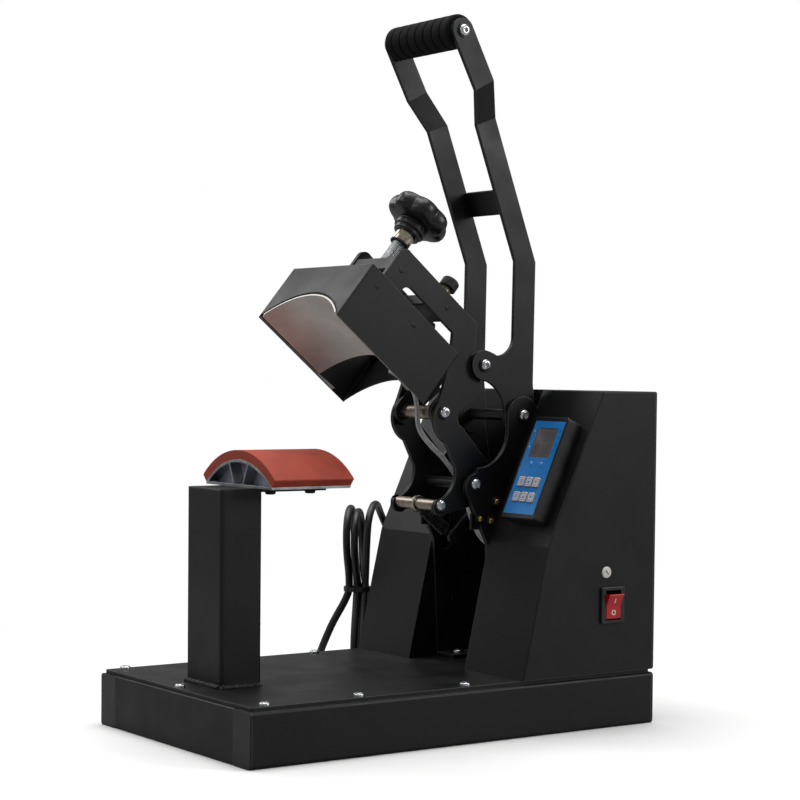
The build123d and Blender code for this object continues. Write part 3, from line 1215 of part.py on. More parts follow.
# ---------------------------------------------------------------- switch and fuse
def switch_housing():
    """The switch's frame and body, open for the rocker."""
    face = CABINET_HALF_WIDTH
    frame = block(face, face + BEZEL_RISE, SWITCH_Y - BEZEL_WIDTH / 2, SWITCH_Y + BEZEL_WIDTH / 2,
                  SWITCH_Z - BEZEL_LENGTH / 2, SWITCH_Z + BEZEL_LENGTH / 2)
    frame = fillet(frame.edges().filter_by(Axis.X), 1.5)
    frame = fillet(frame.faces().sort_by(Axis.X)[-1].edges(), 0.8)
    half_w = SWITCH_CUT_WIDTH / 2 - SHEET_GAP
    half_l = SWITCH_CUT_LENGTH / 2 - SHEET_GAP
    body = block(face - SWITCH_DEPTH, face, SWITCH_Y - half_w, SWITCH_Y + half_w,
                 SWITCH_Z - half_l, SWITCH_Z + half_l)
    housing = frame + body
    well_w = ROCKER_WIDTH / 2 + 0.3
    well_l = rocker_reach() + 0.25
    housing -= block(face - 11, face + BEZEL_RISE + 1, SWITCH_Y - well_w, SWITCH_Y + well_w,
                     SWITCH_Z - well_l, SWITCH_Z + well_l)
    for side in (-1, 1):
        terminal_z = SWITCH_Z + side * 7
        housing += block(face - SWITCH_DEPTH - 8, face - SWITCH_DEPTH + 1, SWITCH_Y - 3,
                         SWITCH_Y + 3, terminal_z - 0.5, terminal_z + 0.5)
    return housing


def rocker_reach():
    """The rocker's largest radius about its pivot."""
    rise = ROCKER_SADDLE + ROCKER_LENGTH / 2 * tan(radians(ROCKER_TILT))
    return hypot(ROCKER_LENGTH / 2, rise)


def rocker():
    """The rocker, dished so that each half lies flat in turn; its lower half is pressed in."""
    half = ROCKER_LENGTH / 2
    rise = ROCKER_SADDLE + half * tan(radians(ROCKER_TILT))
    face = make_face([Line((ROCKER_SADDLE, 0), (rise, half)), Line((rise, half), (-5, half - 3)),
                      Line((-5, half - 3), (-5, 3 - half)), Line((-5, 3 - half), (rise, -half)),
                      Line((rise, -half), (ROCKER_SADDLE, 0))])
    plane = Plane(origin=(ROCKER_X, SWITCH_Y + ROCKER_WIDTH / 2, SWITCH_Z), x_dir=(1, 0, 0),
                  z_dir=(0, -1, 0))
    solid = extrude(plane * face, amount=ROCKER_WIDTH)
    solid = fillet(solid.edges().filter_by(GeomType.LINE).filter_by(
        lambda edge: edge.center().X > ROCKER_X + ROCKER_SADDLE + 0.1), 0.6)
    axis = Axis((ROCKER_X, SWITCH_Y, SWITCH_Z), (0, 1, 0))
    return solid.rotate(axis, ROCKER_TILT)


def fuse_cap():
    """A round slotted cap in the cabinet's side, above the switch."""
    face = CABINET_HALF_WIDTH
    cap = across((FUSE_Y, FUSE_Z), 5.0, face, face + 1.6)
    cap = fillet(cap.edges().filter_by(GeomType.CIRCLE).sort_by(Axis.X)[-1], 0.7)
    cap += across((FUSE_Y, FUSE_Z), 3.8, face - 14, face)
    cap -= block(face + 0.6, face + 3, FUSE_Y - 0.6, FUSE_Y + 0.6, FUSE_Z - 4, FUSE_Z + 4)
    return cap


nodes["cabinet_right"] -= across((FUSE_Y, FUSE_Z), 3.8 + SCREW_GAP, CABINET_HALF_WIDTH - 5,
                                 CABINET_HALF_WIDTH + 5)
nodes["switch_housing"] = switch_housing()
nodes["switch_rocker"] = rocker()
nodes["fuse_cap"] = fuse_cap()


# ---------------------------------------------------------------- spring, cable and cord
def routed(points, radius, name):
    """A round cable along straight runs joined by the largest arcs that they allow."""
    vectors = [Vector(*point) for point in points]
    runs = [(b - a).length for a, b in zip(vectors, vectors[1:])]
    bends = []
    for i in range(1, len(vectors) - 1):
        turn = (vectors[i] - vectors[i - 1]).get_angle(vectors[i + 1] - vectors[i])
        bends.append(0.45 * min(runs[i - 1], runs[i]) / tan(radians(turn / 2)))
    path = FilletPolyline(*points, radius=bends)
    tube = sweep(Plane(origin=path @ 0, z_dir=path % 0) * Circle(radius), path=path)
    print(name, "bend radii", [round(bend, 1) for bend in bends])
    print(name, "length", round(path.length, 1), "volume ratio",
          round(tube.volume / (pi * radius ** 2 * path.length), 4))
    return tube


def tension_spring():
    """A close-wound spring, drawn as a ribbed barrel, with a ring hook at each end."""
    start, end = LOWER_ROD_OPEN, SPRING_ANCHOR
    run = hypot(end[0] - start[0], end[1] - start[1])
    wire = SPRING_WIRE / 2
    front_ring = LOWER_ROD_RADIUS + wire + HOOK_GAP
    low = front_ring + SPRING_STEM
    high = run - 2 * HOOK_RADIUS - SPRING_STEM
    coils = int((high - low) / SPRING_WIRE)
    pitch = (high - low) / coils
    root = SPRING_RADIUS - wire
    edges = [Line((0, low), (root, low))]
    for coil in range(coils):
        base = low + coil * pitch
        edges.append(ThreePointArc((root, base), (SPRING_RADIUS, base + pitch / 2),
                                   (root, base + pitch)))
    edges += [Line((root, high), (0, high)), Line((0, high), (0, low))]
    solid = revolve(Plane.XZ * make_face(edges), Axis.Z)
    for stem_low, stem_high in ((front_ring, low + 1),
                                (high - 1, run - 2 * HOOK_RADIUS)):
        solid += upright(0, 0, stem_low, stem_high, SPRING_STEM_RADIUS)
    solid += Rot(0, 90, 0) * Torus(front_ring, wire)
    solid += Pos(0, 0, run - HOOK_RADIUS) * (Rot(90, 0, 0) * Torus(HOOK_RADIUS, wire))
    lean = degrees(atan2(end[1] - start[1], end[0] - start[0]))
    return Pos(0, start[0], start[1]) * Rot(lean - 90, 0, 0) * solid


def hank():
    """The outer shape of the cord's tied bundle, which stands beside the cabinet."""
    lean = radians(HANK_TURN)
    plane = Plane(origin=(HANK_PLACE[0], HANK_PLACE[1], 0), x_dir=(cos(lean), sin(lean), 0),
                  z_dir=(sin(lean), -cos(lean), 0))
    fold = HANK_FOLD + CORD_RADIUS
    top = Pos(0, HANK_HEIGHT - fold) * Circle(fold)
    waist = Pos(0, HANK_TIE_Z) * Circle(HANK_WAIST)
    foot = Pos(0, HANK_LIFT + fold) * Circle(fold)
    face = make_hull(top.edges() + waist.edges()) + make_hull(waist.edges() + foot.edges())
    return extrude(plane * face, amount=HANK_THICK / 2, both=True)


def gland():
    """The cord's strain relief: a hexagon nut and a tapering sleeve on the side wall."""
    face = -CABINET_HALF_WIDTH
    plane = Plane(origin=(face, GLAND_Y, GLAND_Z), x_dir=(0, 1, 0), z_dir=(-1, 0, 0))
    nut = extrude(plane * RegularPolygon(GLAND_NUT, 6), amount=5)
    sleeve = Pos(face - 5 - 6, GLAND_Y, GLAND_Z) * (Rot(0, -90, 0) * Cone(7.5, 5.2, 12))
    thread = across((GLAND_Y, GLAND_Z), GLAND_THREAD, face, face + 10)
    lock = extrude(Plane(origin=(face + CABINET_WALL, GLAND_Y, GLAND_Z), x_dir=(0, 1, 0),
                         z_dir=(1, 0, 0)) * RegularPolygon(GLAND_NUT, 6), amount=4)
    bore = across((GLAND_Y, GLAND_Z), CORD_RADIUS, face - 18, face - 10)
    return nut + sleeve + thread + lock - bore


def plug():
    """A two-pin mains plug lying on the ground, with its sleeve towards the cord."""
    x, y, z = TAIL_POINTS[-1]
    body = block(x + 15, x + 48, y - 13, y + 13, z - 9.5, z + 9.5)
    body = fillet(body.edges().filter_by(Axis.X), 5)
    body = chamfer(body.faces().sort_by(Axis.X)[0].edges(), 3)
    solid = body + Pos(x + 8, y, z) * (Rot(0, 90, 0) * Cone(5.0, 6.5, 16))
    for side in (-1, 1):
        across_pins = y + side * 6.5
        solid += block(x + 47, x + 65, across_pins - 0.8, across_pins + 0.8, z - 3.2, z + 3.2)
    return solid


nodes["heater_cable"] = routed(CABLE_POINTS, CABLE_RADIUS, "heater cable")
nodes["tension_spring"] = tension_spring()
nodes["power_cord_hank"] = hank()
nodes["cord_gland"] = gland()
nodes["power_plug"] = plug()
nodes["power_cord_lead"] = routed(LEAD_POINTS, CORD_RADIUS, "lead")
nodes["power_cord_tail"] = routed(TAIL_POINTS, CORD_RADIUS, "tail")


# ---------------------------------------------------------------- output
print("lever opens", round(LEVER_ANGLE, 3), "arm opens", OPEN_ANGLE)
print("toggle pin", [round(value, 3) for value in TOGGLE_PIN])
print("upper rod", [round(value, 3) for value in UPPER_ROD_OPEN])
print("link turn", round(degrees(atan2(LEVER_PIVOT[1] - UPPER_ROD[1],
                                       LEVER_PIVOT[0] - UPPER_ROD[0])
                                 - atan2(TOGGLE_PIN[1] - UPPER_ROD_OPEN[1],
                                         TOGGLE_PIN[0] - UPPER_ROD_OPEN[0])) - OPEN_ANGLE, 3))

os.makedirs("parts", exist_ok=True)
for name, shape in nodes.items():
    export_step(shape, "parts/" + name + ".step")
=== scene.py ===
"""A bench press that irons a transfer onto the front of a cap.

A curved heater hangs from an arm over a curved silicone platen, and a long lever at the back
folds a toggle that swings the arm down. Every CAD node keeps its shape and gets its finish here,
and the soft, wound and woven pieces are made new over their CAD solids. Lengths are metres.
"""

from math import asin, atan2, cos, hypot, pi, radians, sin, sqrt

import bpy
import numpy as np
from mathutils import Matrix, Vector


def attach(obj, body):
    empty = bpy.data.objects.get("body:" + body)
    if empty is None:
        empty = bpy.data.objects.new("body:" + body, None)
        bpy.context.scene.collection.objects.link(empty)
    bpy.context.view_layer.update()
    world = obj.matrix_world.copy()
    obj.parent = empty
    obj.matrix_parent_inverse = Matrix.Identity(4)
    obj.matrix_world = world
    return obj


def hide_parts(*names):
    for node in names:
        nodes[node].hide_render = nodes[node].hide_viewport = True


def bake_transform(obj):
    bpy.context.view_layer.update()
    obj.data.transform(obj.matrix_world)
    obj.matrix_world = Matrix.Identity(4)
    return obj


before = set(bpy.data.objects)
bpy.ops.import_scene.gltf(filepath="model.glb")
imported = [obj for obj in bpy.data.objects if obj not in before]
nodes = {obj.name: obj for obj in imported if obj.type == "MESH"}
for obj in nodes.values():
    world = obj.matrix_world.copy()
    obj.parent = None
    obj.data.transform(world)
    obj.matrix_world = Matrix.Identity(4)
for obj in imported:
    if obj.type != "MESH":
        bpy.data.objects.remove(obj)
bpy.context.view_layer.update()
scene = bpy.context.scene
MM = 0.001

# ---------------------------------------------------------------- camera
# The press is seen from its front right corner, a little above the platen, with a long lens.

AZIMUTH = radians(54.26)
PITCH = radians(-2.32)
ROLL = radians(0.59)
LENS = 93.08
SENSOR = 36.0
SHIFT = (-0.04, 0.07)
EYE = (1.4557, -0.9951, 0.3013)
FAR_CLIP = 20.0

ahead = Vector((-sin(AZIMUTH) * cos(PITCH), cos(AZIMUTH) * cos(PITCH), sin(PITCH)))
level = ahead.cross(Vector((0, 0, 1))).normalized()
overhead = level.cross(ahead)
right = cos(ROLL) * level + sin(ROLL) * overhead
upward = -sin(ROLL) * level + cos(ROLL) * overhead
camera_data = bpy.data.cameras.new("camera")
camera_data.lens = LENS
camera_data.sensor_width = SENSOR
camera_data.shift_x, camera_data.shift_y = SHIFT
camera_data.clip_end = FAR_CLIP
camera = bpy.data.objects.new("camera", camera_data)
turn = Matrix((right, upward, -ahead)).transposed().to_4x4()
camera.matrix_world = Matrix.Translation(EYE) @ turn
scene.collection.objects.link(camera)
scene.camera = camera


# ---------------------------------------------------------------- mains lead
# A round 7 mm PVC lead leaves a gland on the left cabinet, is folded into a hank held by a
# nylon tie, and runs down beside the base to its moulded plug on the bench.

CORD_RADIUS = 3.5 * MM
HANK_PLACE = (-151.0, 77.0)
HANK_HEADING = radians(138.0)
LAYER = 7.4         # from one turn of the hank to the next, in mm
TIE_HEIGHT = 98.0
TIE_HALF_ALONG, TIE_HALF_ACROSS = 9.0, 12.6
STRAP_HALF_THICK, STRAP_HALF_WIDE = 0.6, 2.3
SLEEVE_RADIUS, SLEEVE_TAPER, SLEEVE_RIB = 6.4, 0.5, 0.45
CURVE_STEPS, BEVEL_STEPS = 8, 5

CLOUD_LOW, CLOUD_HIGH = 0.3, 0.7        # the part of a noise's range that counts
EDGE_FLAT, EDGE_TURNED = 0.99, 0.90     # how far a rounded normal leans at an edge painted paler, as wear and as a painted highlight
GRAIN_HEIGHT = 0.1 * MM
SHARP_FROM = radians(40)


def linear(code):
    """The linear colour of an sRGB hex code: each channel's power curve undone."""
    parts = [int(code[i : i + 2], 16) / 255 for i in (1, 3, 5)]
    return tuple(c / 12.92 if c <= 0.04045 else ((c + 0.055) / 1.055) ** 2.4 for c in parts)


def add(tree, kind, links=None, **settings):
    """A new shader node; settings are its attributes or unlinked sockets, links its inputs."""
    node = tree.nodes.new("ShaderNode" + kind)
    for name, value in settings.items():
        if hasattr(node, name):
            setattr(node, name, value)
    for key, value in (links or {}).items():
        socket = node.inputs[key]
        if isinstance(value, bpy.types.NodeSocket):
            tree.links.new(value, socket)
        else:
            socket.default_value = value
    return node


def finish(name, light, dark, rough, metal=0.0, patch=20.0, spread=0.08, grain=0.8,
           relief=0.08, rounding=0.0, edge_wear_and_highlight=None, gloss=0.5):
    """A material whose colour and roughness vary over soft patches, with a fine raised grain.

    Patch and grain are sizes in millimetres. Where rounding is given, sharp edges are rounded
    by that radius, and with an edge colour they show it where the edge turns fastest: partly
    wear, partly a painted highlight of the edge catching the light. Gloss is how much of the
    light the surface reflects before its colour, 0.5 for a common plastic.
    """
    material = bpy.data.materials.new(name)
    material.use_nodes = True
    tree = material.node_tree
    tree.nodes.clear()
    place = add(tree, "TexCoord").outputs["Object"]
    clouds = add(tree, "TexNoise", {"Vector": place, "Scale": 1000 / patch, "Detail": 4.0})
    broad = add(tree, "MapRange", {0: clouds.outputs[0], 1: CLOUD_LOW,
                                   2: CLOUD_HIGH}).outputs[0]
    colour = add(tree, "Mix", {0: broad, 6: (*linear(dark), 1), 7: (*linear(light), 1)},
                 data_type="RGBA").outputs[2]
    sheen = add(tree, "MapRange", {0: clouds.outputs[0], 1: CLOUD_LOW, 2: CLOUD_HIGH,
                                   3: rough - spread, 4: rough + spread}).outputs[0]
    speckle = add(tree, "TexNoise", {"Vector": place, "Scale": 1000 / grain, "Detail": 2.0})
    bump = add(tree, "Bump", {"Height": speckle.outputs[0], "Strength": relief,
                              "Distance": GRAIN_HEIGHT})
    if rounding:
        eased = add(tree, "Bevel", {"Radius": rounding * MM}, samples=4).outputs[0]
        tree.links.new(eased, bump.inputs["Normal"])
        if edge_wear_and_highlight:
            facing = add(tree, "VectorMath", {0: eased, 1: add(tree, "NewGeometry").outputs[1]},
                         operation="DOT_PRODUCT").outputs["Value"]
            edge = add(tree, "MapRange", {0: facing, 1: EDGE_FLAT,
                                          2: EDGE_TURNED}).outputs[0]
            worn_and_lit_edge = add(tree, "Math", {0: edge, 1: speckle.outputs[0]}, operation="MULTIPLY")
            colour = add(tree, "Mix", {0: worn_and_lit_edge.outputs[0], 6: colour,
                                       7: (*linear(edge_wear_and_highlight), 1)}, data_type="RGBA").outputs[2]
    shader = add(tree, "BsdfPrincipled", {"Base Color": colour, "Roughness": sheen,
                                          "Metallic": metal, "Normal": bump.outputs[0],
                                          "Specular IOR Level": gloss})
    add(tree, "OutputMaterial", {"Surface": shader.outputs[0]})
    return material


def skin(name, grid, looped=False):
    """A closed surface over a grid of points, rows along it and columns once round it.

    Each square of four neighbouring points is a face; the first and last rows are closed by
    one face each unless the rows join up. If the enclosed volume comes out negative, the
    columns are reversed, so that the faces point outwards.
    """
    rows, columns = grid.shape[:2]
    index = np.arange(rows * columns).reshape(rows, columns)
    if looped:
        index = np.vstack([index, index[:1]])
    a, b = index[:-1], np.roll(index[:-1], -1, axis=1)
    c, d = np.roll(index[1:], -1, axis=1), index[1:]
    quads = np.stack([a, b, c, d], axis=-1).reshape(-1, 4)
    points = grid.reshape(-1, 3)
    p, q, r, s = (points[quads[:, k]] - points.mean(0) for k in range(4))
    volume = np.einsum("ij,ij->i", p, np.cross(q, r) + np.cross(r, s)).sum()
    if volume < 0:
        quads = quads[:, ::-1]
    faces = quads.tolist()
    if not looped:
        first, last = index[0].tolist(), index[-1].tolist()
        faces += [first[::-1], last] if volume > 0 else [first, last[::-1]]
    mesh = bpy.data.meshes.new(name)
    mesh.from_pydata(points.tolist(), [], faces)
    mesh.shade_smooth()
    mesh.set_sharp_from_angle(angle=SHARP_FROM)
    piece = bpy.data.objects.new(name, mesh)
    scene.collection.objects.link(piece)
    return piece


def along(line, ring, across=(0.0, 0.0, 1.0), looped=False):
    """The grid of a ring of (side, over) points carried along a line of points.

    At each point the side axis is the line's direction crossed with the vector across, and
    the over axis is side crossed with the direction. The ring may change from row to row.
    """
    line, ring = np.asarray(line, float), np.asarray(ring, float)
    ahead_of = np.roll(line, -1, 0) - np.roll(line, 1, 0) if looped else np.gradient(line, axis=0)
    ahead_of /= np.linalg.norm(ahead_of, axis=1, keepdims=True)
    side = np.cross(ahead_of, across)
    side /= np.linalg.norm(side, axis=1, keepdims=True)
    over = np.cross(side, ahead_of)
    if ring.ndim == 2:
        ring = np.broadcast_to(ring, (len(line), *ring.shape))
    return (line[:, None] + ring[..., :1] * side[:, None] + ring[..., 1:] * over[:, None])


def route(name, points, radius=0.0):
    """A NURBS line with the given control points in metres, thickened where radius is given."""
    data = bpy.data.curves.new(name, "CURVE")
    data.dimensions = "3D"
    data.resolution_u = CURVE_STEPS
    data.bevel_depth = radius
    data.bevel_resolution = BEVEL_STEPS
    data.use_fill_caps = True
    spline = data.splines.new("NURBS")
    spline.points.add(len(points) - 1)
    for point, place in zip(spline.points, points):
        point.co = (*place, 1.0)
    spline.order_u = 3
    spline.use_endpoint_u = True
    curve = bpy.data.objects.new(name, data)
    scene.collection.objects.link(curve)
    return curve


def dress(material, *names):
    """Gives CAD nodes their finish."""
    for name in names:
        nodes[name].data.materials.clear()
        nodes[name].data.materials.append(material)


def place_piece(piece, body, material):
    """A new piece rides on its body and takes its slot and its finish."""
    piece.data.materials.append(material)
    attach(piece, body)
    return piece


# the lead: out of the gland, up in an arch, and down into the hank
lead = [(-133, 140, 140), (-150, 140, 139), (-168, 139, 140), (-182, 132, 149),
        (-183, 124, 165), (-173, 113, 176), (-161, 99.7, 175), (-153, 89.7, 162.5),
        (-150.5, 86.5, 146)]
# the tail: out of the hank, down to the bench and round to the plug beside the base
tail = [(-152, 68, 96), (-158, 66, 84), (-170, 62, 66), (-183, 59, 42), (-199, 61, 20),
        (-222, 74, 7.5), (-247, 97, 3.8), (-261, 128, 3.6), (-256, 159, 4.2),
        (-238, 181, 6.5), (-213, 190, 9), (-195, 191, 10.5)]
# the hank's own points: along its flat side, height, and across its turns
low_fold = [(-10, 78), (-19.5, 57), (-23.4, 36.9), (-23.4, 17.9), (-9.7, 4.2), (9.7, 4.2),
            (23.4, 17.9), (23.4, 36.9), (19.5, 57), (10, 78)]
top_fold = [(7, 114), (17, 127), (23.4, 141), (23.4, 159.6), (9.7, 173.3), (-9.7, 173.3),
            (-23.4, 159.6), (-23.4, 141), (-17, 127), (-7, 114)]
step_over = [5.0, 2.0, 0.5] + [0.0] * 7
bundle = [(3, 122, 7.2), (-3.6, TIE_HEIGHT, 7.3)]
bundle += [(s, z, LAYER) for s, z in low_fold] + [(3.8, TIE_HEIGHT, 7.3)]
bundle += [(s, z - 3, n) for (s, z), n in zip(top_fold, step_over)]
bundle += [(-3.8, TIE_HEIGHT, 0.0)]
bundle += [(0.93 * s, z + 5, 0.0) for s, z in low_fold] + [(3.8, TIE_HEIGHT, -0.1)]
bundle += [(s, z, n - LAYER) for (s, z), n in zip(top_fold, step_over)] + [(-4.4, 102, -7.3)]
flat_x, flat_y = cos(HANK_HEADING), sin(HANK_HEADING)
hank = [(HANK_PLACE[0] + s * flat_x + n * flat_y, HANK_PLACE[1] + s * flat_y - n * flat_x, z)
        for s, z, n in bundle]
cord_points = [tuple(c * MM for c in point) for point in lead + hank + tail]

# flexible PVC: a soft black with a satin sheen and a few paler rubbed patches
soft_pvc = finish("flexible_black_pvc", "#1d1d1e", "#131314", 0.42, patch=14, grain=1.2)
cord = route("power_cord", cord_points, CORD_RADIUS)
place_piece(cord, "press_base", soft_pvc)
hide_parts("power_cord_lead", "power_cord_hank", "power_cord_tail")

# the tie: a strap 4.6 mm wide drawn round the bundle
angle = np.linspace(0, 2 * pi, 48, endpoint=False)
round_s, round_n = TIE_HALF_ALONG * np.cos(angle), TIE_HALF_ACROSS * np.sin(angle)
tie_line = np.stack([HANK_PLACE[0] + round_s * flat_x + round_n * flat_y,
                     HANK_PLACE[1] + round_s * flat_y - round_n * flat_x,
                     np.full(len(angle), TIE_HEIGHT)], axis=1) * MM
strap_ring = np.array([(a * STRAP_HALF_THICK, b * STRAP_HALF_WIDE)
                       for a, b in ((-1, -1), (1, -1), (1, 1), (-1, 1))]) * MM
# moulded nylon: smooth, slightly greasy black
black_nylon = finish("black_nylon", "#202021", "#161617", 0.35, patch=8, grain=0.8, relief=0.03)
strap = skin("cord_tie", along(tie_line, strap_ring, looped=True), looped=True)
place_piece(strap, "press_base", black_nylon)

# the strain relief: a ribbed rubber sleeve, moulded on, that thins out along the lead
sleeve_line = np.array([(-139, 140, 139.9), (-147, 140, 139.5), (-155, 140, 139.4),
                        (-161, 139.6, 139.8), (-166, 138.4, 140.8)], float)
steps = np.linspace(0, 4, 53)
sleeve_line = np.stack([np.interp(steps, range(5), sleeve_line[:, k]) for k in range(3)], 1) * MM
ribs = (SLEEVE_RADIUS - SLEEVE_TAPER * steps - SLEEVE_RIB * (np.sin(steps * 3 * pi) > 0.2)) * MM
circle = np.stack([np.cos(angle), np.sin(angle)], axis=1)
sleeve = skin("cord_sleeve", along(sleeve_line, ribs[:, None, None] * circle))
place_piece(sleeve, "press_base", soft_pvc)
# the gland is moulded nylon, and the plug is a glossier hard PVC
dress(black_nylon, "cord_gland")
hard_pvc = finish("moulded_black_pvc", "#1e1e1f", "#151516", 0.3, patch=10, grain=0.9,
                  relief=0.05, rounding=1.0)
dress(hard_pvc, "power_plug")


# ---------------------------------------------------------------- base
# Two folded steel rails with a 3 mm plate screwed on top, all powder-coated satin black, with
# injection-moulded plastic caps in the rail ends and zinc-plated pan screws.

# powder coat: satin black over steel, its fine orange peel drawn at 0.9 mm so that it shows,
# paler along the edges, partly as wear and partly as a painted highlight of the lit edges
powder_coat = finish("black_powder_coat_on_steel", "#0f1011", "#0a0a0b", 0.46, patch=40,
                     grain=0.9, relief=0.16, rounding=0.8, edge_wear_and_highlight="#8b8c8f", gloss=0.32)
dress(powder_coat, "rail_left", "rail_right", "end_panels", "base_plate")

# injection-moulded polypropylene: a little glossier and bluer than the coat round it
# its edges are painted a paler grey, partly as wear and partly as a painted highlight
moulded_cap = finish("moulded_polypropylene", "#0d0e0f", "#090a0a", 0.3, patch=16, grain=0.7,
                     relief=0.06, rounding=0.6, edge_wear_and_highlight="#3a3b3d", gloss=0.4)
dress(moulded_cap, "rail_end_caps")

# bright zinc plate: a pale, slightly cloudy metal with fine handling marks
bright_zinc = finish("bright_zinc_plated_steel", "#dcdddf", "#c2c5c8", 0.27, metal=1.0, patch=8,
                     grain=0.35, relief=0.05, rounding=0.25)
# hot-blackened steel: a dark brown-black with a low sheen
black_steel = finish("blackened_steel", "#2b2a29", "#1b1a1a", 0.38, metal=0.6, patch=10,
                     grain=0.6, relief=0.05, rounding=0.3)

CAD_SHARP_FROM = radians(35)


def part_of(name, node, keep):
    """A copy of a node's triangles whose centres pass the test, their points joined up."""
    source = nodes[node].data
    points = np.zeros(len(source.vertices) * 3)
    source.vertices.foreach_get("co", points)
    points = points.reshape(-1, 3)
    corners = np.zeros(len(source.loops), int)
    source.loops.foreach_get("vertex_index", corners)
    triangles = corners.reshape(-1, 3)
    triangles = triangles[keep(points[triangles].mean(axis=1))]
    places, joined = np.unique(np.round(points[triangles].reshape(-1, 3), 6), axis=0,
                               return_inverse=True)
    mesh = bpy.data.meshes.new(name)
    mesh.from_pydata(places.tolist(), [], joined.reshape(-1, 3).tolist())
    mesh.validate()
    mesh.shade_smooth()
    mesh.set_sharp_from_angle(angle=CAD_SHARP_FROM)
    piece = bpy.data.objects.new(name, mesh)
    scene.collection.objects.link(piece)
    return piece


# the screws that hold the saddle are blackened, those in the plate and the rear cover are bright
SADDLE_SCREWS_FROM, SADDLE_SCREWS_REAR = 190 * MM, -50 * MM


def at_saddle(centres):
    """Which of the triangles' centres belong to the screws under the saddle."""
    return (centres[:, 2] > SADDLE_SCREWS_FROM) & (centres[:, 1] < SADDLE_SCREWS_REAR)


saddle_screws = part_of("saddle_screws", "base_screws", at_saddle)
place_piece(saddle_screws, "press_base", black_steel)
plate_screws = part_of("plate_screws", "base_screws", lambda centres: ~at_saddle(centres))
place_piece(plate_screws, "press_base", bright_zinc)
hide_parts("base_screws")


# ---------------------------------------------------------------- post and platen
# A square steel post is welded upright on the plate. It carries a cast aluminium saddle with
# two thin spokes, and a pad of brick-red silicone rubber is glued over the saddle.

# the same coat on tube, whose corners were rolled to a 3 mm radius
tube_coat = finish("black_powder_coat_on_tube", "#0f1011", "#0a0a0b", 0.44, patch=40,
                   grain=0.9, relief=0.16, rounding=2.6, gloss=0.34)
dress(tube_coat, "platen_post")


RIPPLE_EVERY, RIPPLE_SHARE, WELD_WANDER = 2.4, 0.13, 0.15
WELD_Z = 47.6


def weld_bead(name, corners, radius):
    """A rippled bead along straight runs between corners.

    Its radius swells and shrinks like a sine at every ripple, and it leans back and forth a
    little along the run, as a hand-laid bead does.
    """
    corners = np.asarray(corners, float)
    run = np.concatenate([[0], np.cumsum(np.linalg.norm(np.diff(corners, axis=0), axis=1))])
    walked = np.linspace(0, run[-1], int(run[-1] / 0.4))
    line = np.stack([np.interp(walked, run, corners[:, k]) for k in range(3)], axis=1)
    line[:, 2] += WELD_WANDER * np.sin(walked * 0.9)
    swell = radius * (1 + RIPPLE_SHARE * np.sin(walked * 2 * pi / RIPPLE_EVERY)
                      + 0.06 * np.sin(walked * 0.7))
    turn = np.linspace(0, 2 * pi, 16, endpoint=False)
    ring = np.stack([np.cos(turn), np.sin(turn)], axis=1)
    return skin(name, along(line * MM, swell[:, None, None] * MM * ring))


# an arc weld under the same coat
foot_weld = weld_bead("foot_weld", [(-26, -173.6, WELD_Z), (26, -173.6, WELD_Z)], 2.6)
place_piece(foot_weld, "press_base", powder_coat)
side_weld = weld_bead("side_weld", [(28.6, -171, WELD_Z), (28.6, -137, WELD_Z)], 2.2)
place_piece(side_weld, "press_base", powder_coat)

# sand-cast aluminium, machined on its ends: satin grey with a soft grain
cast_aluminium = finish("cast_aluminium", "#b9bbbc", "#94979a", 0.42, metal=1.0, patch=12,
                        grain=0.6, relief=0.12, rounding=0.4)
dress(cast_aluminium, "platen_core")
# the casting's inner web, rougher and bluer than its machined ends
web_metal = finish("as_cast_aluminium", "#a9aec0", "#8d93a6", 0.5, metal=0.2, patch=9,
                   grain=0.8, relief=0.25)
WEB_RADIUS, WEB_AXIS_Z, WEB_LOW, WEB_FRONT, WEB_REAR = 75.6, 151.5, 208.4, 131.5, 129.0
web_reach = asin(sqrt(WEB_RADIUS ** 2 - (WEB_LOW - WEB_AXIS_Z) ** 2) / WEB_RADIUS)
web_arc = np.linspace(web_reach, -web_reach, 48)
web_outline = np.stack([WEB_RADIUS * np.sin(web_arc), WEB_AXIS_Z + WEB_RADIUS * np.cos(web_arc)],
                       axis=1)
web = skin("saddle_web", np.array([[(x, -out, z) for x, z in web_outline]
                                   for out in (WEB_REAR, WEB_FRONT)]) * MM)
place_piece(web, "press_base", web_metal)

# silicone rubber: matt brick red, faintly dusty, with a soft skin
# its edges are painted a paler red, partly as wear and partly as a painted highlight
silicone = finish("brick_red_silicone", "#a5422d", "#8f3626", 0.66, patch=26, spread=0.05,
                  grain=1.3, relief=0.35, rounding=0.8, edge_wear_and_highlight="#b5573f", gloss=0.35)
dress(silicone, "platen_pad")


# ---------------------------------------------------------------- cabinets and side frames
# Folded 1.5 mm sheet boxes stand on each side of an open channel, and laser-cut 4 mm plates in
# the channel carry the two axles. All are powder-coated; the axles are blackened turned steel.

dress(powder_coat, "cabinet_left", "cabinet_right", "rear_cover", "frame_plate_left",
      "frame_plate_right", "anchor_bracket")
dress(black_steel, "axle_rods")


FRAME_FACE = 41.5
SHANK_DEPTH = 15.0
AXLES = ((120.0, 264.5), (68.5, 205.5))
SOCKET_HALF = 2.15
WASHER_RINGS = [(0.0, 4.0), (0.0, 6.0), (0.2, 6.2), (0.8, 6.2), (1.0, 6.0), (1.0, 0.4)]
HEAD_RINGS = [(0.9, 4.8), (1.5, 5.0), (2.1, 4.95), (2.8, 4.5), (3.4, 3.7), (3.7, 2.8)]
SOCKET_RINGS = (3.7, 1.5, 1.3)


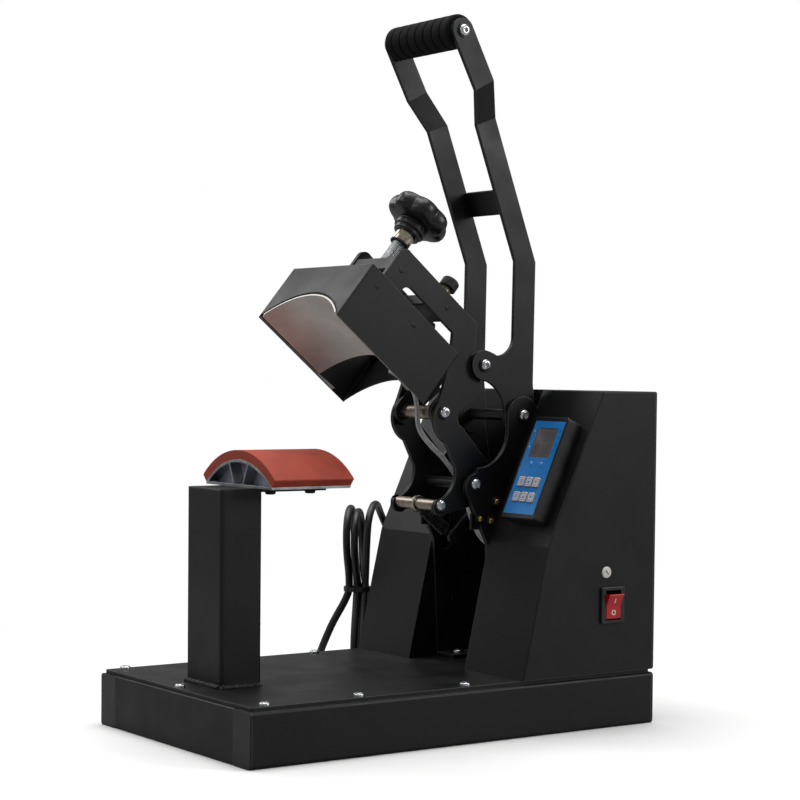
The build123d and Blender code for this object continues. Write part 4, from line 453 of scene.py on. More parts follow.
def socket_bolt(name, body, at, face, depth, side):
    """A button-head bolt along X with its black washer, on a plate's face.

    Both are turned shapes: rings of (out, radius) from the face, where the head's last rings
    are the hexagon of its socket. Returns the head.
    """
    turn = np.linspace(0, 2 * pi, 36, endpoint=False)
    hexagon = SOCKET_HALF / np.cos((turn * 3 / pi + 0.5) % 1.0 * pi / 3 - pi / 6)
    washer = [(-depth, 0.4), (-depth, 4.0)] + WASHER_RINGS
    hand = "right" if side > 0 else "left"
    for word, rings, metal, slot in (("washer", washer, black_steel, "blackened_steel"),
                                     ("head", HEAD_RINGS, bright_zinc, "zinc_steel")):
        out, radius = np.array(rings).T
        radius = np.broadcast_to(radius[:, None], (len(out), len(turn)))
        if word == "head":
            out = np.append(out, SOCKET_RINGS)
            radius = np.vstack([radius, hexagon, hexagon, 0.1 * hexagon])
        grid = np.stack([side * (face + out[:, None] * np.ones_like(turn)),
                         at[0] + radius * np.cos(turn), at[1] + radius * np.sin(turn)], axis=-1)
        piece = skin(f"{name}_{word}_{at[1]:.0f}_{hand}", grid * MM)
        place_piece(piece, body, metal)
    return piece


axle_bolts = [socket_bolt("axle_bolt", "press_base", at, FRAME_FACE, SHANK_DEPTH, side)
              for at in AXLES for side in (1, -1)]
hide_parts("axle_bolts")


# ---------------------------------------------------------------- lever, grip and links
# Two bent flat bars joined by a welded tie, a tube grip of closed-cell foam over the handle
# rod, and short links inside them. Shoulder bolts with hexagon sockets hold the pivots.

dress(powder_coat, "lever_plate_left", "lever_plate_right", "lever_tie", "toggle_links")
dress(black_steel, "handle_rod")
TOGGLE_PIN, HANDLE_END = (80.75, 307.88), (44.0, 588.0)
TOGGLE_FACE, TOGGLE_SHANK, HANDLE_FACE = 37.0, 8.5, 51.0
lever_bolts = [socket_bolt("toggle_bolt", "lever", TOGGLE_PIN, TOGGLE_FACE, TOGGLE_SHANK, side)
               for side in (1, -1)]
lever_bolts += [socket_bolt("handle_bolt", "lever", HANDLE_END, HANDLE_FACE, SHANK_DEPTH, side)
                for side in (1, -1)]
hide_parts("lever_bolts")

GRIP_HALF, GRIP_RADIUS, GRIP_GROOVES = 46.9, 14.5, 7
GROOVE_HALF, GROOVE_DEPTH, END_ROLL = 1.3, 1.1, 3.0
FOAM_SWELL, FOAM_SLACK = 0.12, 0.2


def turned_grip(name, half_length, radius, grooves):
    """A round bar along X: its radius drops in rounded grooves and rolls over at both ends.

    Between grooves the foam swells like a shallow half sine, each groove is a narrow cosine
    valley, and the end rows follow a quarter circle down to the bore.
    """
    x = np.linspace(-half_length, half_length, 340)
    pitch = 2 * half_length / (grooves + 1)
    phase = (x + half_length) / pitch
    near = np.abs(phase - np.round(phase)) * pitch
    inner = (np.round(phase) > 0.5) & (np.round(phase) < grooves + 0.5)
    in_groove = inner & (near < GROOVE_HALF)
    valley = np.where(in_groove, 0.5 + 0.5 * np.cos(pi * near / GROOVE_HALF), 0.0)
    swell = FOAM_SWELL * np.sin(pi * (phase % 1.0))
    reach = np.clip((half_length - np.abs(x)) / END_ROLL, 0, 1)
    rolled = END_ROLL * (1 - np.sqrt(1 - (1 - reach) ** 2))
    r = radius - FOAM_SLACK + swell - GROOVE_DEPTH * valley - rolled
    turn = np.linspace(0, 2 * pi, 64, endpoint=False)
    y = HANDLE_END[0] + r[:, None] * np.cos(turn)
    z = HANDLE_END[1] + r[:, None] * np.sin(turn)
    return skin(name, np.stack([np.broadcast_to(x[:, None], y.shape), y, z], axis=-1) * MM)


# closed-cell foam rubber: matt, pored and nearly black
foam = finish("black_foam_rubber", "#0f0e0e", "#070606", 0.9, patch=6, spread=0.06, grain=0.9,
              relief=0.5, gloss=0.2)
grip = turned_grip("foam_grip", GRIP_HALF, GRIP_RADIUS, GRIP_GROOVES)
place_piece(grip, "lever", foam)
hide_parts("handle_grip")


# ---------------------------------------------------------------- arm
# Two laser-cut cheeks with a screw block and a tie bar welded between them, and two turned
# cross rods held by socket bolts. The welds at the block and the tie are ground flush.

ARM_PIVOT = (68.5, 205.4)
OPEN_ANGLE = radians(39.7)
CHEEK_FACE = 32.5
CROSS_RODS = ((41.56, 266.88), (38.32, 187.83))
ARM_WELDS = [(-103, 298, 1), (-103, 298, -1), (-47, 305.5, 1), (-47, 305.5, -1)]
WELD_RADIUS, WELD_RISE = 2.6, 0.05


def swung(points):
    """Points of the level arm turned back about its pivot to where it stands open."""
    points = np.array(points, float)
    y, z = points[..., 1] - ARM_PIVOT[0], points[..., 2] - ARM_PIVOT[1]
    c, s = cos(-OPEN_ANGLE), sin(-OPEN_ANGLE)
    points[..., 1] = ARM_PIVOT[0] + c * y - s * z
    points[..., 2] = ARM_PIVOT[1] + s * y + c * z
    return points


def flush_welds(name, places, side_x):
    """Round plug welds on plates: shallow domes, a cosine in height from middle to rim."""
    turn = np.linspace(0, 2 * pi, 28, endpoint=False)
    reach = np.array([WELD_RADIUS, 2.45, 2.1, 1.6, 0.9, 0.2])
    r = np.concatenate([[WELD_RADIUS], reach])
    rise = np.concatenate([[-0.6], WELD_RISE * np.cos(reach / 2.7 * pi / 2)])
    parts = []
    for count, (y, z, side) in enumerate(places):
        ripple = 1 + 0.03 * np.sin(5 * turn + 2 * y)
        x = side * (side_x + rise[:, None] * np.ones_like(turn))
        ring = np.stack([x, y + r[:, None] * ripple * np.cos(turn),
                         z + r[:, None] * ripple * np.sin(turn)], axis=-1)
        parts.append(skin(f"{name}_{count}", swung(ring) * MM))
    return parts


dress(powder_coat, "arm_plate_left", "arm_plate_right", "screw_block", "arm_tie")
# turned mild steel left bare: warm grey, drawn round by the lathe, slightly oily
turned_steel = finish("turned_bright_steel", "#a99d90", "#83786c", 0.33, metal=1.0, patch=7,
                      grain=0.5, relief=0.1, rounding=0.4)
dress(turned_steel, "upper_rod", "lower_rod", "stop_stud")
# nitrile rubber: matt black
nitrile = finish("black_nitrile_rubber", "#1c1c1d", "#121213", 0.66, patch=5, grain=0.8,
                 relief=0.15, rounding=0.6)
dress(nitrile, "stop_buffer")

rod_bolts = [socket_bolt("rod_bolt", "arm", at, CHEEK_FACE, SHANK_DEPTH, side)
             for at in CROSS_RODS for side in (1, -1)]
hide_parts("arm_bolts")
for weld in flush_welds("arm_weld", ARM_WELDS, CHEEK_FACE):
    place_piece(weld, "arm", tube_coat)


# ---------------------------------------------------------------- head
# A folded black sheet skirt round a cast aluminium heating plate, curved to fit the pad. The
# heater hangs from a steel carrier, and its front edge is machined bright.

HEAD_X, HEAD_FRONT, HEAD_LOW = 61.5, -141.5, 215.0
ARC_Z = 151.5
CARRIER_HALF = 50 * MM
COVER_WELDS = [(y, 258.0, side) for y in (-126.8, -78.8) for side in (1, -1)]
GASKET_INNER, GASKET_OUTER, GASKET_HALF = 87.2, 88.9, 58.0
LIP_INNER, LIP_OUTER, LIP_HALF = 85.8, 87.1, 55.5
LIT_EDGE_OUTER, LIT_EDGE_REAR, LIT_EDGE_NARROW, LIT_EDGE_WIDER = 59.6, -46.0, 1.0, 3.6
LIT_EDGE_WIDENS_FROM, LIT_EDGE_WIDENS_OVER = -70.0, 24.0

dress(powder_coat, "head_cover", "heater_carrier")
# satin heating plate: fine matt blasting over cast metal, warm from use
heater_plate = finish("blasted_heating_plate", "#d3cfca", "#bbb7b2", 0.5, metal=1.0, patch=26,
                      spread=0.05, grain=0.7, relief=0.1, rounding=0.3)
dress(heater_plate, "heater")

carrier_screws = part_of("heater_screws", "head_screws",
                         lambda centres: np.abs(centres[:, 0]) < CARRIER_HALF)
place_piece(carrier_screws, "head", bright_zinc)
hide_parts("head_screws")
for weld in flush_welds("cover_weld", COVER_WELDS, HEAD_X):
    place_piece(weld, "head", tube_coat)


def arched_strip(name, inner, outer, y_low, y_high, half):
    """A strip bent to an arc over the heater: a square section carried round part of a circle.

    The circle's axis is the platen's, and the arc ends where it reaches the given half width.
    """
    reach = asin(half / (0.5 * (inner + outer)))
    sweep = np.linspace(-reach, reach, 60)
    section = [(inner, y_low), (outer, y_low), (outer, y_high), (inner, y_high)]
    grid = np.array([[(r * np.sin(t), y, ARC_Z + r * np.cos(t)) for r, y in section]
                     for t in sweep])
    return skin(name, swung(grid) * MM)


# a woven glass gasket, blackened, fills the gap between the skirt and the plate
gasket = arched_strip("heater_gasket", GASKET_INNER, GASKET_OUTER, HEAD_FRONT + 1.0,
                      HEAD_FRONT + 2.4, GASKET_HALF)
place_piece(gasket, "head", nitrile)
# the machined front lip of the plate
bright_edge = finish("machined_aluminium", "#bdbbb6", "#a3a19c", 0.42, metal=1.0, patch=9,
                     grain=0.4, relief=0.05)
lip = arched_strip("heater_lip", LIP_INNER, LIP_OUTER, HEAD_FRONT + 0.2, HEAD_FRONT + 1.4,
                   LIP_HALF)
place_piece(lip, "head", bright_edge)


def skirt_lit_edge(name, side):
    """A strip inside the skirt's lower edge, thin beside the plate and wider behind; its pale
    colour is a painted highlight of that edge catching the light.

    Its section is a flat oblong, whose inner edge moves inwards like a smooth step.
    """
    y = np.linspace(HEAD_FRONT + 1.3, LIT_EDGE_REAR, 60)
    rise = np.clip((y - LIT_EDGE_WIDENS_FROM) / LIT_EDGE_WIDENS_OVER, 0, 1)
    width = LIT_EDGE_NARROW + LIT_EDGE_WIDER * rise * rise * (3 - 2 * rise)
    low, high = HEAD_LOW + 0.3, HEAD_LOW + 1.2
    grid = np.array([[(side * LIT_EDGE_OUTER, at, low), (side * (LIT_EDGE_OUTER - w), at, low),
                      (side * (LIT_EDGE_OUTER - w), at, high), (side * LIT_EDGE_OUTER, at, high)]
                     for at, w in zip(y, width)])
    return skin(name, swung(grid) * MM)


# painted highlight: a dull, warm grey strip where the skirt's lower edge catches the light
lit_edge_grey = finish("painted_edge_highlight_grey", "#a19d96", "#837f79", 0.5, metal=0.9, patch=9,
                   grain=0.5, relief=0.08)
for word, side in (("right", 1), ("left", -1)):
    lit_edge_strip = skirt_lit_edge("skirt_lit_edge_" + word, side)
    place_piece(lit_edge_strip, "head", lit_edge_grey)


# ---------------------------------------------------------------- pressure screw and knob
# An M12 zinc-plated screw with a star knob of moulded phenolic on top, its nickel-plated
# insert showing below the collar.

SCREW_Y = -103.0
NUT_LOW, COLLAR_LOW, KNOB_LOW = 330.0, 340.0, 350.0
THREAD_LOW, THREAD_HIGH, THREAD_PITCH = 254.2, 346.0, 1.5
CREST_RADIUS, THREAD_DEPTH = 5.95, 0.6


def about_screw(name, heights, radius):
    """A closed surface round the screw's axis, from heights and a radius at each angle."""
    columns = radius.shape[1]
    turn = np.linspace(0, 2 * pi, columns, endpoint=False)
    z = np.broadcast_to(np.asarray(heights, float)[:, None], radius.shape)
    grid = np.stack([radius * np.cos(turn), SCREW_Y + radius * np.sin(turn), z], axis=-1)
    return skin(name, swung(grid) * MM)


# the thread: a radius that falls and rises like a triangle wave along a helix of 1.5 mm
column_turn = np.linspace(0, 1, 36, endpoint=False)
thread_z = np.arange(THREAD_LOW, THREAD_HIGH, THREAD_PITCH / 9)
wave = np.abs(((thread_z[:, None] / THREAD_PITCH - column_turn) % 1.0) - 0.5) * 2
threaded = about_screw("threaded_screw", thread_z, CREST_RADIUS - THREAD_DEPTH * wave)
# passivated zinc: paler and duller than the bolts'
screw_zinc = finish("passivated_zinc_on_steel", "#d6d8da", "#bfc2c5", 0.4, metal=1.0, patch=16,
                    grain=0.5, relief=0.04)
place_piece(threaded, "pressure_knob", screw_zinc)
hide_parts("pressure_screw")

# the nickel insert: a plain sleeve, its edges turned off, over a rubber ring
nut_z = np.array([NUT_LOW, NUT_LOW + 0.05, NUT_LOW + 0.8, COLLAR_LOW - 0.2, COLLAR_LOW])
nut_radius = np.repeat([[6.4], [8.0], [8.6], [8.6], [8.3]], 36, axis=1)
seal_z = NUT_LOW + np.array([-1.5, -1.4, -1.0, -0.4, 0.0, 0.1])
seal_radius = np.repeat([[6.2], [7.9], [8.8], [8.8], [7.9], [6.2]], 36, axis=1)
seal = about_screw("insert_seal", seal_z, seal_radius)
place_piece(seal, "pressure_knob", nitrile)
# nickel plate: warm, bright and nearly mirror-smooth
nickel = finish("nickel_plated_steel", "#cbc0ae", "#a89c8b", 0.14, metal=1.0, patch=5, grain=0.4,
                relief=0.03, rounding=0.3)
insert = about_screw("knob_insert", nut_z, nut_radius)
place_piece(insert, "pressure_knob", nickel)
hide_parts("lock_nut")

# the knob: a profile of heights, radii and depths of its seven valleys
LOBES = 7
VALLEY_WIDTH = 0.6      # the power of the wave round the knob: less makes the valleys narrower
knob_profile = np.array([
    (COLLAR_LOW, 9.0, 0), (COLLAR_LOW + 0.1, 11.9, 0), (COLLAR_LOW + 0.5, 12.3, 0),
    (COLLAR_LOW + 3.6, 12.4, 0), (COLLAR_LOW + 3.8, 13.8, 0), (COLLAR_LOW + 4.3, 14.3, 0),
    (COLLAR_LOW + 8.6, 14.5, 0), (COLLAR_LOW + 9.2, 13.6, 0), (KNOB_LOW, 13.8, 0),
    (KNOB_LOW + 0.4, 16.0, 0.01), (KNOB_LOW + 1.2, 20.0, 0.03), (KNOB_LOW + 2.8, 24.4, 0.08),
    (KNOB_LOW + 5.4, 27.2, 0.11), (KNOB_LOW + 8.8, 28.4, 0.12), (KNOB_LOW + 12.4, 28.4, 0.12),
    (KNOB_LOW + 15.6, 27.2, 0.12), (KNOB_LOW + 18.2, 24.6, 0.10), (KNOB_LOW + 19.6, 21.0, 0.06),
    (KNOB_LOW + 20.0, 17.8, 0.02), (KNOB_LOW + 19.4, 15.0, 0.01), (KNOB_LOW + 18.2, 13.0, 0),
    (KNOB_LOW + 17.6, 9.0, 0), (KNOB_LOW + 17.8, 4.0, 0), (KNOB_LOW + 17.9, 0.4, 0)])
rows = np.linspace(0, len(knob_profile) - 1, 160)
knob_z, knob_r, knob_dip = (np.interp(rows, range(len(knob_profile)), knob_profile[:, k])
                            for k in range(3))
# the profile's corners are eased by weighing each row with its neighbours
blur = np.array([1, 2, 3, 2, 1]) / 9
for values in (knob_z, knob_r, knob_dip):
    values[2:-2] = np.convolve(values, blur, "valid")
knob_turn = np.linspace(0, 1, 196, endpoint=False)
scallop = (0.5 - 0.5 * np.cos(2 * pi * LOBES * knob_turn)) ** VALLEY_WIDTH
knob = about_screw("lobed_knob", knob_z, knob_r[:, None] * (1 - knob_dip[:, None] * (1 - scallop)))
# phenolic moulding: hard glossy black with faint flow marks
phenolic = finish("black_phenolic", "#141415", "#0d0d0e", 0.3, patch=30, spread=0.05, grain=0.6,
                  relief=0.04)
place_piece(knob, "pressure_knob", phenolic)
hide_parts("star_knob")


# ---------------------------------------------------------------- controller
# A moulded ABS case bolted on the cabinet's slope, a blue polyester face sheet with a window
# for the display, and six rubber keys with blue marks.

# moulded ABS: fine spark texture, a low sheen
# its edges are painted a paler grey, partly as wear and partly as a painted highlight
moulded_abs = finish("moulded_black_abs", "#0f1011", "#0a0b0b", 0.42, patch=18, grain=0.7,
                     relief=0.12, rounding=0.9, edge_wear_and_highlight="#3b3c3e")
dress(moulded_abs, "controller_case")
# printed polyester film over a foam backing
blue_film = finish("blue_polyester_film", "#1e79c4", "#1b6fb2", 0.36, patch=22, spread=0.05,
                   grain=0.5, relief=0.04, rounding=0.15)
dress(blue_film, "controller_face")
# the display's window: grey plastic over an unlit liquid crystal
window = finish("unlit_display_window", "#625f60", "#555254", 0.2, patch=9, spread=0.04,
                grain=0.3, relief=0.02)
dress(window, "display")
# silicone keys: pale pinkish beige, matt
key_rubber = finish("beige_key_rubber", "#d9cdc4", "#c9bbb2", 0.55, patch=6, spread=0.05,
                    grain=0.4, relief=0.08, rounding=0.5)
dress(key_rubber, *(f"key_{number}" for number in range(1, 7)))

SLOPE = atan2(58.3, 129.8)
CABINET_TOP_Y, CABINET_TOP_Z = 142.0, 286.5
FACE_X, FACE_DOWN = 89.0, 78.0
FACE_CENTRE = (FACE_X, CABINET_TOP_Y - FACE_DOWN * sin(SLOPE),
               CABINET_TOP_Z - FACE_DOWN * cos(SLOPE))
INK_SUNK, INK_PROUD = 0.05, 0.06
FACE_OUT, DISPLAY_OUT, KEY_OUT = 16.0, 15.7, 17.2
COLUMN_AT, ROW_AT = (-9.9, 0.0, 9.9), (-13.5, -27.3)


def on_controller(u, v, out):
    """A point u to the right and v up the sloping face, and out from its case's foot."""
    return (FACE_CENTRE[0] + u, FACE_CENTRE[1] + v * sin(SLOPE) - out * cos(SLOPE),
            FACE_CENTRE[2] + v * cos(SLOPE) + out * sin(SLOPE))


def printed(name, place, outlines, low, high, body, material):
    """Flat marks standing on a face: each outline is a prism from low to high above it.

    The outlines run counter-clockwise in the face's own plane, and place puts them in space.
    """
    points, faces = [], []
    for outline in outlines:
        first, count = len(points), len(outline)
        for out in (low, high):
            points += [tuple(c * MM for c in place(u, v, out)) for u, v in outline]
        for k in range(count):
            after = (k + 1) % count
            faces.append((first + k, first + after, first + count + after, first + count + k))
        faces.append(list(range(first + count - 1, first - 1, -1)))
        faces.append(list(range(first + count, first + 2 * count)))
    mesh = bpy.data.meshes.new(name)
    mesh.from_pydata(points, [], faces)
    piece = bpy.data.objects.new(name, mesh)
    scene.collection.objects.link(piece)
    place_piece(piece, body, material)
    return piece


def disc(u, v, radius, sides=20):
    """A round outline about a point."""
    turn = np.linspace(0, 2 * pi, sides, endpoint=False)
    return [(u + radius * cos(t), v + radius * sin(t)) for t in turn]


def bar(u, v, length, width, heading=0.0):
    """A straight outline with square ends, centred on a point and turned by its heading."""
    corners = [(-length / 2, -width / 2), (length / 2, -width / 2), (length / 2, width / 2),
               (-length / 2, width / 2)]
    c, s = cos(heading), sin(heading)
    return [(u + c * a - s * b, v + s * a + c * b) for a, b in corners]


def quarter_rings(u, v, inner, outer):
    """A ring as four outlines, each a quarter turn of it."""
    pieces = []
    for start in range(4):
        turn = np.linspace(start * pi / 2, (start + 1) * pi / 2, 9)
        outline = [(u + outer * cos(t), v + outer * sin(t)) for t in turn]
        outline += [(u + inner * cos(t), v + inner * sin(t)) for t in turn[::-1]]
        pieces.append(outline)
    return pieces


def square_frame(u, v, half, width):
    """A square line round a point, as four bars that meet at its corners."""
    mid = half - width / 2
    return [bar(u, v + mid, 2 * half, width), bar(u, v - mid, 2 * half, width),
            bar(u - mid, v, 2 * half - 2 * width, width, pi / 2),
            bar(u + mid, v, 2 * half - 2 * width, width, pi / 2)]


# ink: thin, slightly glossy, worn through in places
blue_ink = finish("blue_key_ink", "#2b76b8", "#4a8cc4", 0.45, patch=2, grain=0.3)
pale_ink = finish("pale_ink", "#dfe6ee", "#c9d6e2", 0.45, patch=2, grain=0.3)
dark_ink = finish("dark_ink", "#12365c", "#0e2c4d", 0.45, patch=2, grain=0.3)
ghost_ink = finish("unlit_segments", "#504d50", "#4a474a", 0.25, patch=4, grain=0.3)

for number in range(6):
    u, v = COLUMN_AT[number % 3], ROW_AT[number // 3]
    marks = square_frame(u, v, 3.1, 0.55)
    if number % 3 == 0:
        marks += quarter_rings(u, v, 0.9, 1.7)
    elif number % 3 == 1:
        marks.append([(u - 1.9, v - 1.4), (u + 1.9, v - 1.4), (u, v + 1.8)])
    else:
        marks.append([(u - 1.9, v + 1.4), (u, v - 1.8), (u + 1.9, v + 1.4)])
    printed(f"key_{number + 1}_marks", on_controller, marks, KEY_OUT - INK_SUNK,
            KEY_OUT + INK_PROUD, f"key_{number + 1}_cap", blue_ink)

pale_marks = [disc(-17.0, 33.2, 0.7), disc(-17.0, 18.5, 0.7), bar(-6.4, 4.6, 3.0, 0.5),
              bar(6.8, 4.6, 3.0, 0.5), bar(-6.4, 3.7, 1.8, 0.4), bar(6.8, 3.7, 1.8, 0.4)]
printed("face_pale_marks", on_controller, pale_marks, FACE_OUT - INK_SUNK,
        FACE_OUT + INK_PROUD, "press_base", pale_ink)
dark_marks = [disc(-6.4, 0.8, 0.75), disc(6.8, 0.8, 0.75)]
dark_marks += [bar(16.6, v, 1.6, 1.0) for v in (33.5, 27.8, 21.5, 15.8)]
printed("face_dark_marks", on_controller, dark_marks, FACE_OUT - INK_SUNK,
        FACE_OUT + INK_PROUD, "press_base", dark_ink)

# the unlit display: two rows of three digits, seven bars each
DIGITS_AT, DIGIT_ROWS_AT = (-7.6, 0.0, 7.6), (28.6, 16.8)
segments = []
for digit_u in DIGITS_AT:
    for digit_v in DIGIT_ROWS_AT:
        for side_u in (-1.9, 1.9):
            for half_v in (-2.0, 2.0):
                segments.append(bar(digit_u + side_u, digit_v + half_v, 3.2, 0.7, pi / 2))
        for step_v in (-4.0, 0.0, 4.0):
            segments.append(bar(digit_u, digit_v + step_v, 2.8, 0.7))
printed("display_segments", on_controller, segments, DISPLAY_OUT - INK_SUNK,
        DISPLAY_OUT + INK_SUNK, "press_base", ghost_ink)


# ---------------------------------------------------------------- power switch and fuse
# A snap-in rocker of translucent red polycarbonate in a black nylon frame, and the slotted
# white cap of a fuse holder above it.

dress(black_nylon, "switch_housing")
# tinted polycarbonate: saturated red with a hard gloss
red_cap = finish("red_polycarbonate", "#c3161c", "#a90f16", 0.16, patch=7, spread=0.04,
                 grain=0.8, relief=0.02, rounding=0.5)
dress(red_cap, "switch_rocker")

SWITCH_Y, FLAT_X, FLAT_MARK_Z = 153.8, 125.8, 98.9
SWITCH_INK_SUNK, SWITCH_INK_PROUD = -0.05, 0.08
UPPER_LOW, UPPER_HIGH = (125.82, 104.47), (130.4, 114.74)
upper_run = hypot(UPPER_HIGH[0] - UPPER_LOW[0], UPPER_HIGH[1] - UPPER_LOW[1])
rise_x, rise_z = ((UPPER_HIGH[k] - UPPER_LOW[k]) / upper_run for k in (0, 1))


def on_upper_half(u, v, out):
    """A point on the rocker's raised half: u across it, v up its slope, out from it."""
    return (UPPER_LOW[0] + v * rise_x + out * rise_z, SWITCH_Y + u,
            UPPER_LOW[1] + v * rise_z - out * rise_x)


def on_side_wall(face_x, y, z):
    """A way of placing marks on a wall that faces the switch side."""
    return lambda u, v, out: (face_x + out, y + u, z + v)


# pad-printed ink: opaque warm white
white_ink = finish("white_ink", "#f2efec", "#e2ddd9", 0.4, patch=2, grain=0.3)
printed("rocker_on_mark", on_upper_half, [bar(0.0, 5.0, 4.4, 0.8, pi / 2)], SWITCH_INK_SUNK,
        SWITCH_INK_PROUD, "rocker", white_ink)
printed("rocker_off_mark", on_side_wall(FLAT_X, SWITCH_Y, FLAT_MARK_Z),
        quarter_rings(0, 0, 1.5, 2.3), SWITCH_INK_SUNK, SWITCH_INK_PROUD, "rocker",
        white_ink)


def turned_sideways(name, centre, profile, side=1):
    """A turned piece whose axis is X: rings of (out, radius) from its seat to its crown."""
    turn = np.linspace(0, 2 * pi, 32, endpoint=False)
    out, radius = np.array(profile, float).T
    grid = np.stack([centre[0] + side * out[:, None] * np.ones_like(turn),
                     centre[1] + radius[:, None] * np.cos(turn),
                     centre[2] + radius[:, None] * np.sin(turn)], axis=-1)
    return skin(name, grid * MM)


# moulded white nylon
white_nylon = finish("white_nylon", "#e4e2de", "#d2cfca", 0.4, patch=4, grain=0.5, relief=0.06)
FUSE_CENTRE = (123.0, 147.2, 133.2)
fuse = turned_sideways("fuse_holder_cap", FUSE_CENTRE,
                       [(-0.5, 4.9), (0.5, 5.0), (1.1, 4.7), (1.45, 4.1), (1.5, 3.4),
                        (1.1, 3.1), (1.1, 2.8), (1.5, 2.6), (1.6, 1.4), (1.6, 0.2)])
place_piece(fuse, "press_base", white_nylon)
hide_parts("fuse_cap")
# the cap's slot is drawn as a flat black mark, its darkness painted shade in the slot
printed("fuse_slot", on_side_wall(FUSE_CENTRE[0] + 1.6, *FUSE_CENTRE[1:]),
        [bar(0, 0, 4.6, 0.9, radians(130))], -0.1, 0.02, "press_base",
        black_nylon)


# ---------------------------------------------------------------- spring and its bracket's screws
# A wound steel spring, oiled dark, pulls from a bracket in the channel on the arm's lower rod,
# and brass screws in blackened cup washers hold the bracket to the frame plates.

# brass screws: dull yellow metal
brass = finish("plain_brass", "#b59a5b", "#8d7740", 0.36, metal=1.0, patch=3, grain=0.4,
               relief=0.05, rounding=0.25)

BRACKET_SCREWS = ((74.0, 175.4), (85.5, 173.4), (91.5, 189.9))
CUP_RINGS = [(-0.4, 4.1), (0.2, 4.4), (0.8, 4.1), (1.1, 3.4), (0.9, 2.7)]
DOME_RINGS = [(0.5, 2.7), (1.1, 2.7), (1.7, 2.3), (2.2, 1.5), (2.4, 0.7), (1.5, 0.6), (1.5, 0.1)]
for number, (y, z) in enumerate(BRACKET_SCREWS):
    for side, word in ((1, "right"), (-1, "left")):
        seat = (side * FRAME_FACE, y, z)
        cup = turned_sideways(f"cup_washer_{word}_{number}", seat, CUP_RINGS, side)
        place_piece(cup, "press_base", black_steel)
        dome = turned_sideways(f"brass_screw_{word}_{number}", seat, DOME_RINGS, side)
        place_piece(dome, "press_base", brass)
        if number == 0 and side == 1:
            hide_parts("bracket_screws")


def wire(name, line, radius, sides=12):
    """A round wire along a line of points, its rings turned as little as the line allows.

    Each ring's first axis is the last ring's, with its part along the new direction removed.
    """
    line = np.asarray(line, float)
    heading = np.gradient(line, axis=0)
    heading /= np.linalg.norm(heading, axis=1, keepdims=True)
    first = np.cross(heading[0], (0.31, 0.87, 0.38))
    turn = np.linspace(0, 2 * pi, sides, endpoint=False)
    rings = []
    for centre, ahead_of in zip(line, heading):
        first = first - (first @ ahead_of) * ahead_of
        first /= np.linalg.norm(first)
        second = np.cross(ahead_of, first)
        rings.append(centre + radius * (np.cos(turn)[:, None] * first
                                        + np.sin(turn)[:, None] * second))
    return skin(name, np.array(rings) * MM)


ROD_AT, ANCHOR_AT = np.array((38.31, 187.83)), np.array((76.0, 157.0))
COIL_FROM, COIL_TO, COIL_RADIUS, COIL_TURNS, WIRE_RADIUS = 8.6, 38.2, 4.9, 12, 0.95
REAR_HOOK_RADIUS, FRONT_HOOK_RADIUS, HOOK_TURN_APART = 4.0, 6.3, 1.5
spring_run = np.linalg.norm(ANCHOR_AT - ROD_AT)
spring_way = (ANCHOR_AT - ROD_AT) / spring_run


def beside_spring(along_it, over, sideways):
    """Points from a distance along the spring's axis, one above it, and one across in X."""
    along_it, over, sideways = np.broadcast_arrays(along_it, over, sideways)
    return np.stack([sideways,
                     ROD_AT[0] + spring_way[0] * along_it - spring_way[1] * over,
                     ROD_AT[1] + spring_way[1] * along_it + spring_way[0] * over], axis=-1)


# the coil: a helix, its radius easing from the hooks' stems
coil_at = np.linspace(0, 1, 24 * COIL_TURNS)
ease = np.minimum(1, np.minimum(coil_at, 1 - coil_at) * 2 * COIL_TURNS)
coil_radius = COIL_RADIUS * ease * (2 - ease)
coil = beside_spring(COIL_FROM + (COIL_TO - COIL_FROM) * coil_at,
                     coil_radius * np.cos(2 * pi * COIL_TURNS * coil_at),
                     coil_radius * np.sin(2 * pi * COIL_TURNS * coil_at))
# the rear hook: a ring through the bracket's hole
hook_turn = np.linspace(radians(190), radians(510), 40)
rear_hook = beside_spring(spring_run + REAR_HOOK_RADIUS * (np.cos(hook_turn) - 1), 0.0,
                          REAR_HOOK_RADIUS * np.sin(hook_turn))
# oiled spring steel: nearly black, with a grey sheen on the coils
oiled_steel = finish("oiled_spring_steel", "#3a3938", "#1e1e1e", 0.35, metal=0.8, patch=4,
                     grain=0.4, relief=0.05)
spring = wire("wound_spring", np.vstack([coil, beside_spring([39.6, 40.2], 0.0, [0.0, -0.3]),
                                         rear_hook]), WIRE_RADIUS)
spring.data.materials.append(oiled_steel)
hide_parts("tension_spring")
tuple(beside_spring(40.7, 0.0, 0.0) * MM)
tuple(beside_spring(8.2, 0.0, 0.0) * MM)
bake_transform(spring)

# the front hook: two turns of bright wire round the rod, twisted together at the stem
loop_turn = np.linspace(radians(-14), radians(360 * 2 + 14), 120)
loop_over = FRONT_HOOK_RADIUS + 0.25 * np.sin(loop_turn * 3)
loop_across = HOOK_TURN_APART * np.cos(loop_turn * 0.5) + 0.3 * np.sin(loop_turn)
front_hook = beside_spring(loop_over * np.cos(loop_turn), loop_over * np.sin(loop_turn),
                           loop_across)
stem_at = np.linspace(0, 1, 12)[1:]
stem_off = HOOK_TURN_APART * (1 - stem_at)
stem = beside_spring(6.1 + 3.4 * stem_at, stem_off, stem_off)
hook = wire("spring_hook", np.vstack([front_hook, stem]), WIRE_RADIUS)
# bright spring wire: pale, with a warm tinge
bright_wire = finish("bright_spring_wire", "#d3cfc2", "#a9a593", 0.25, metal=1.0, patch=3,
                     grain=0.3, relief=0.04)
place_piece(hook, "arm", bright_wire)


# ---------------------------------------------------------------- heater cable
# Two glass-sleeved leads come off the heater's rear, pass down over the arm's upper rod and
# into the cabinet. A nylon tie holds them together halfway down.

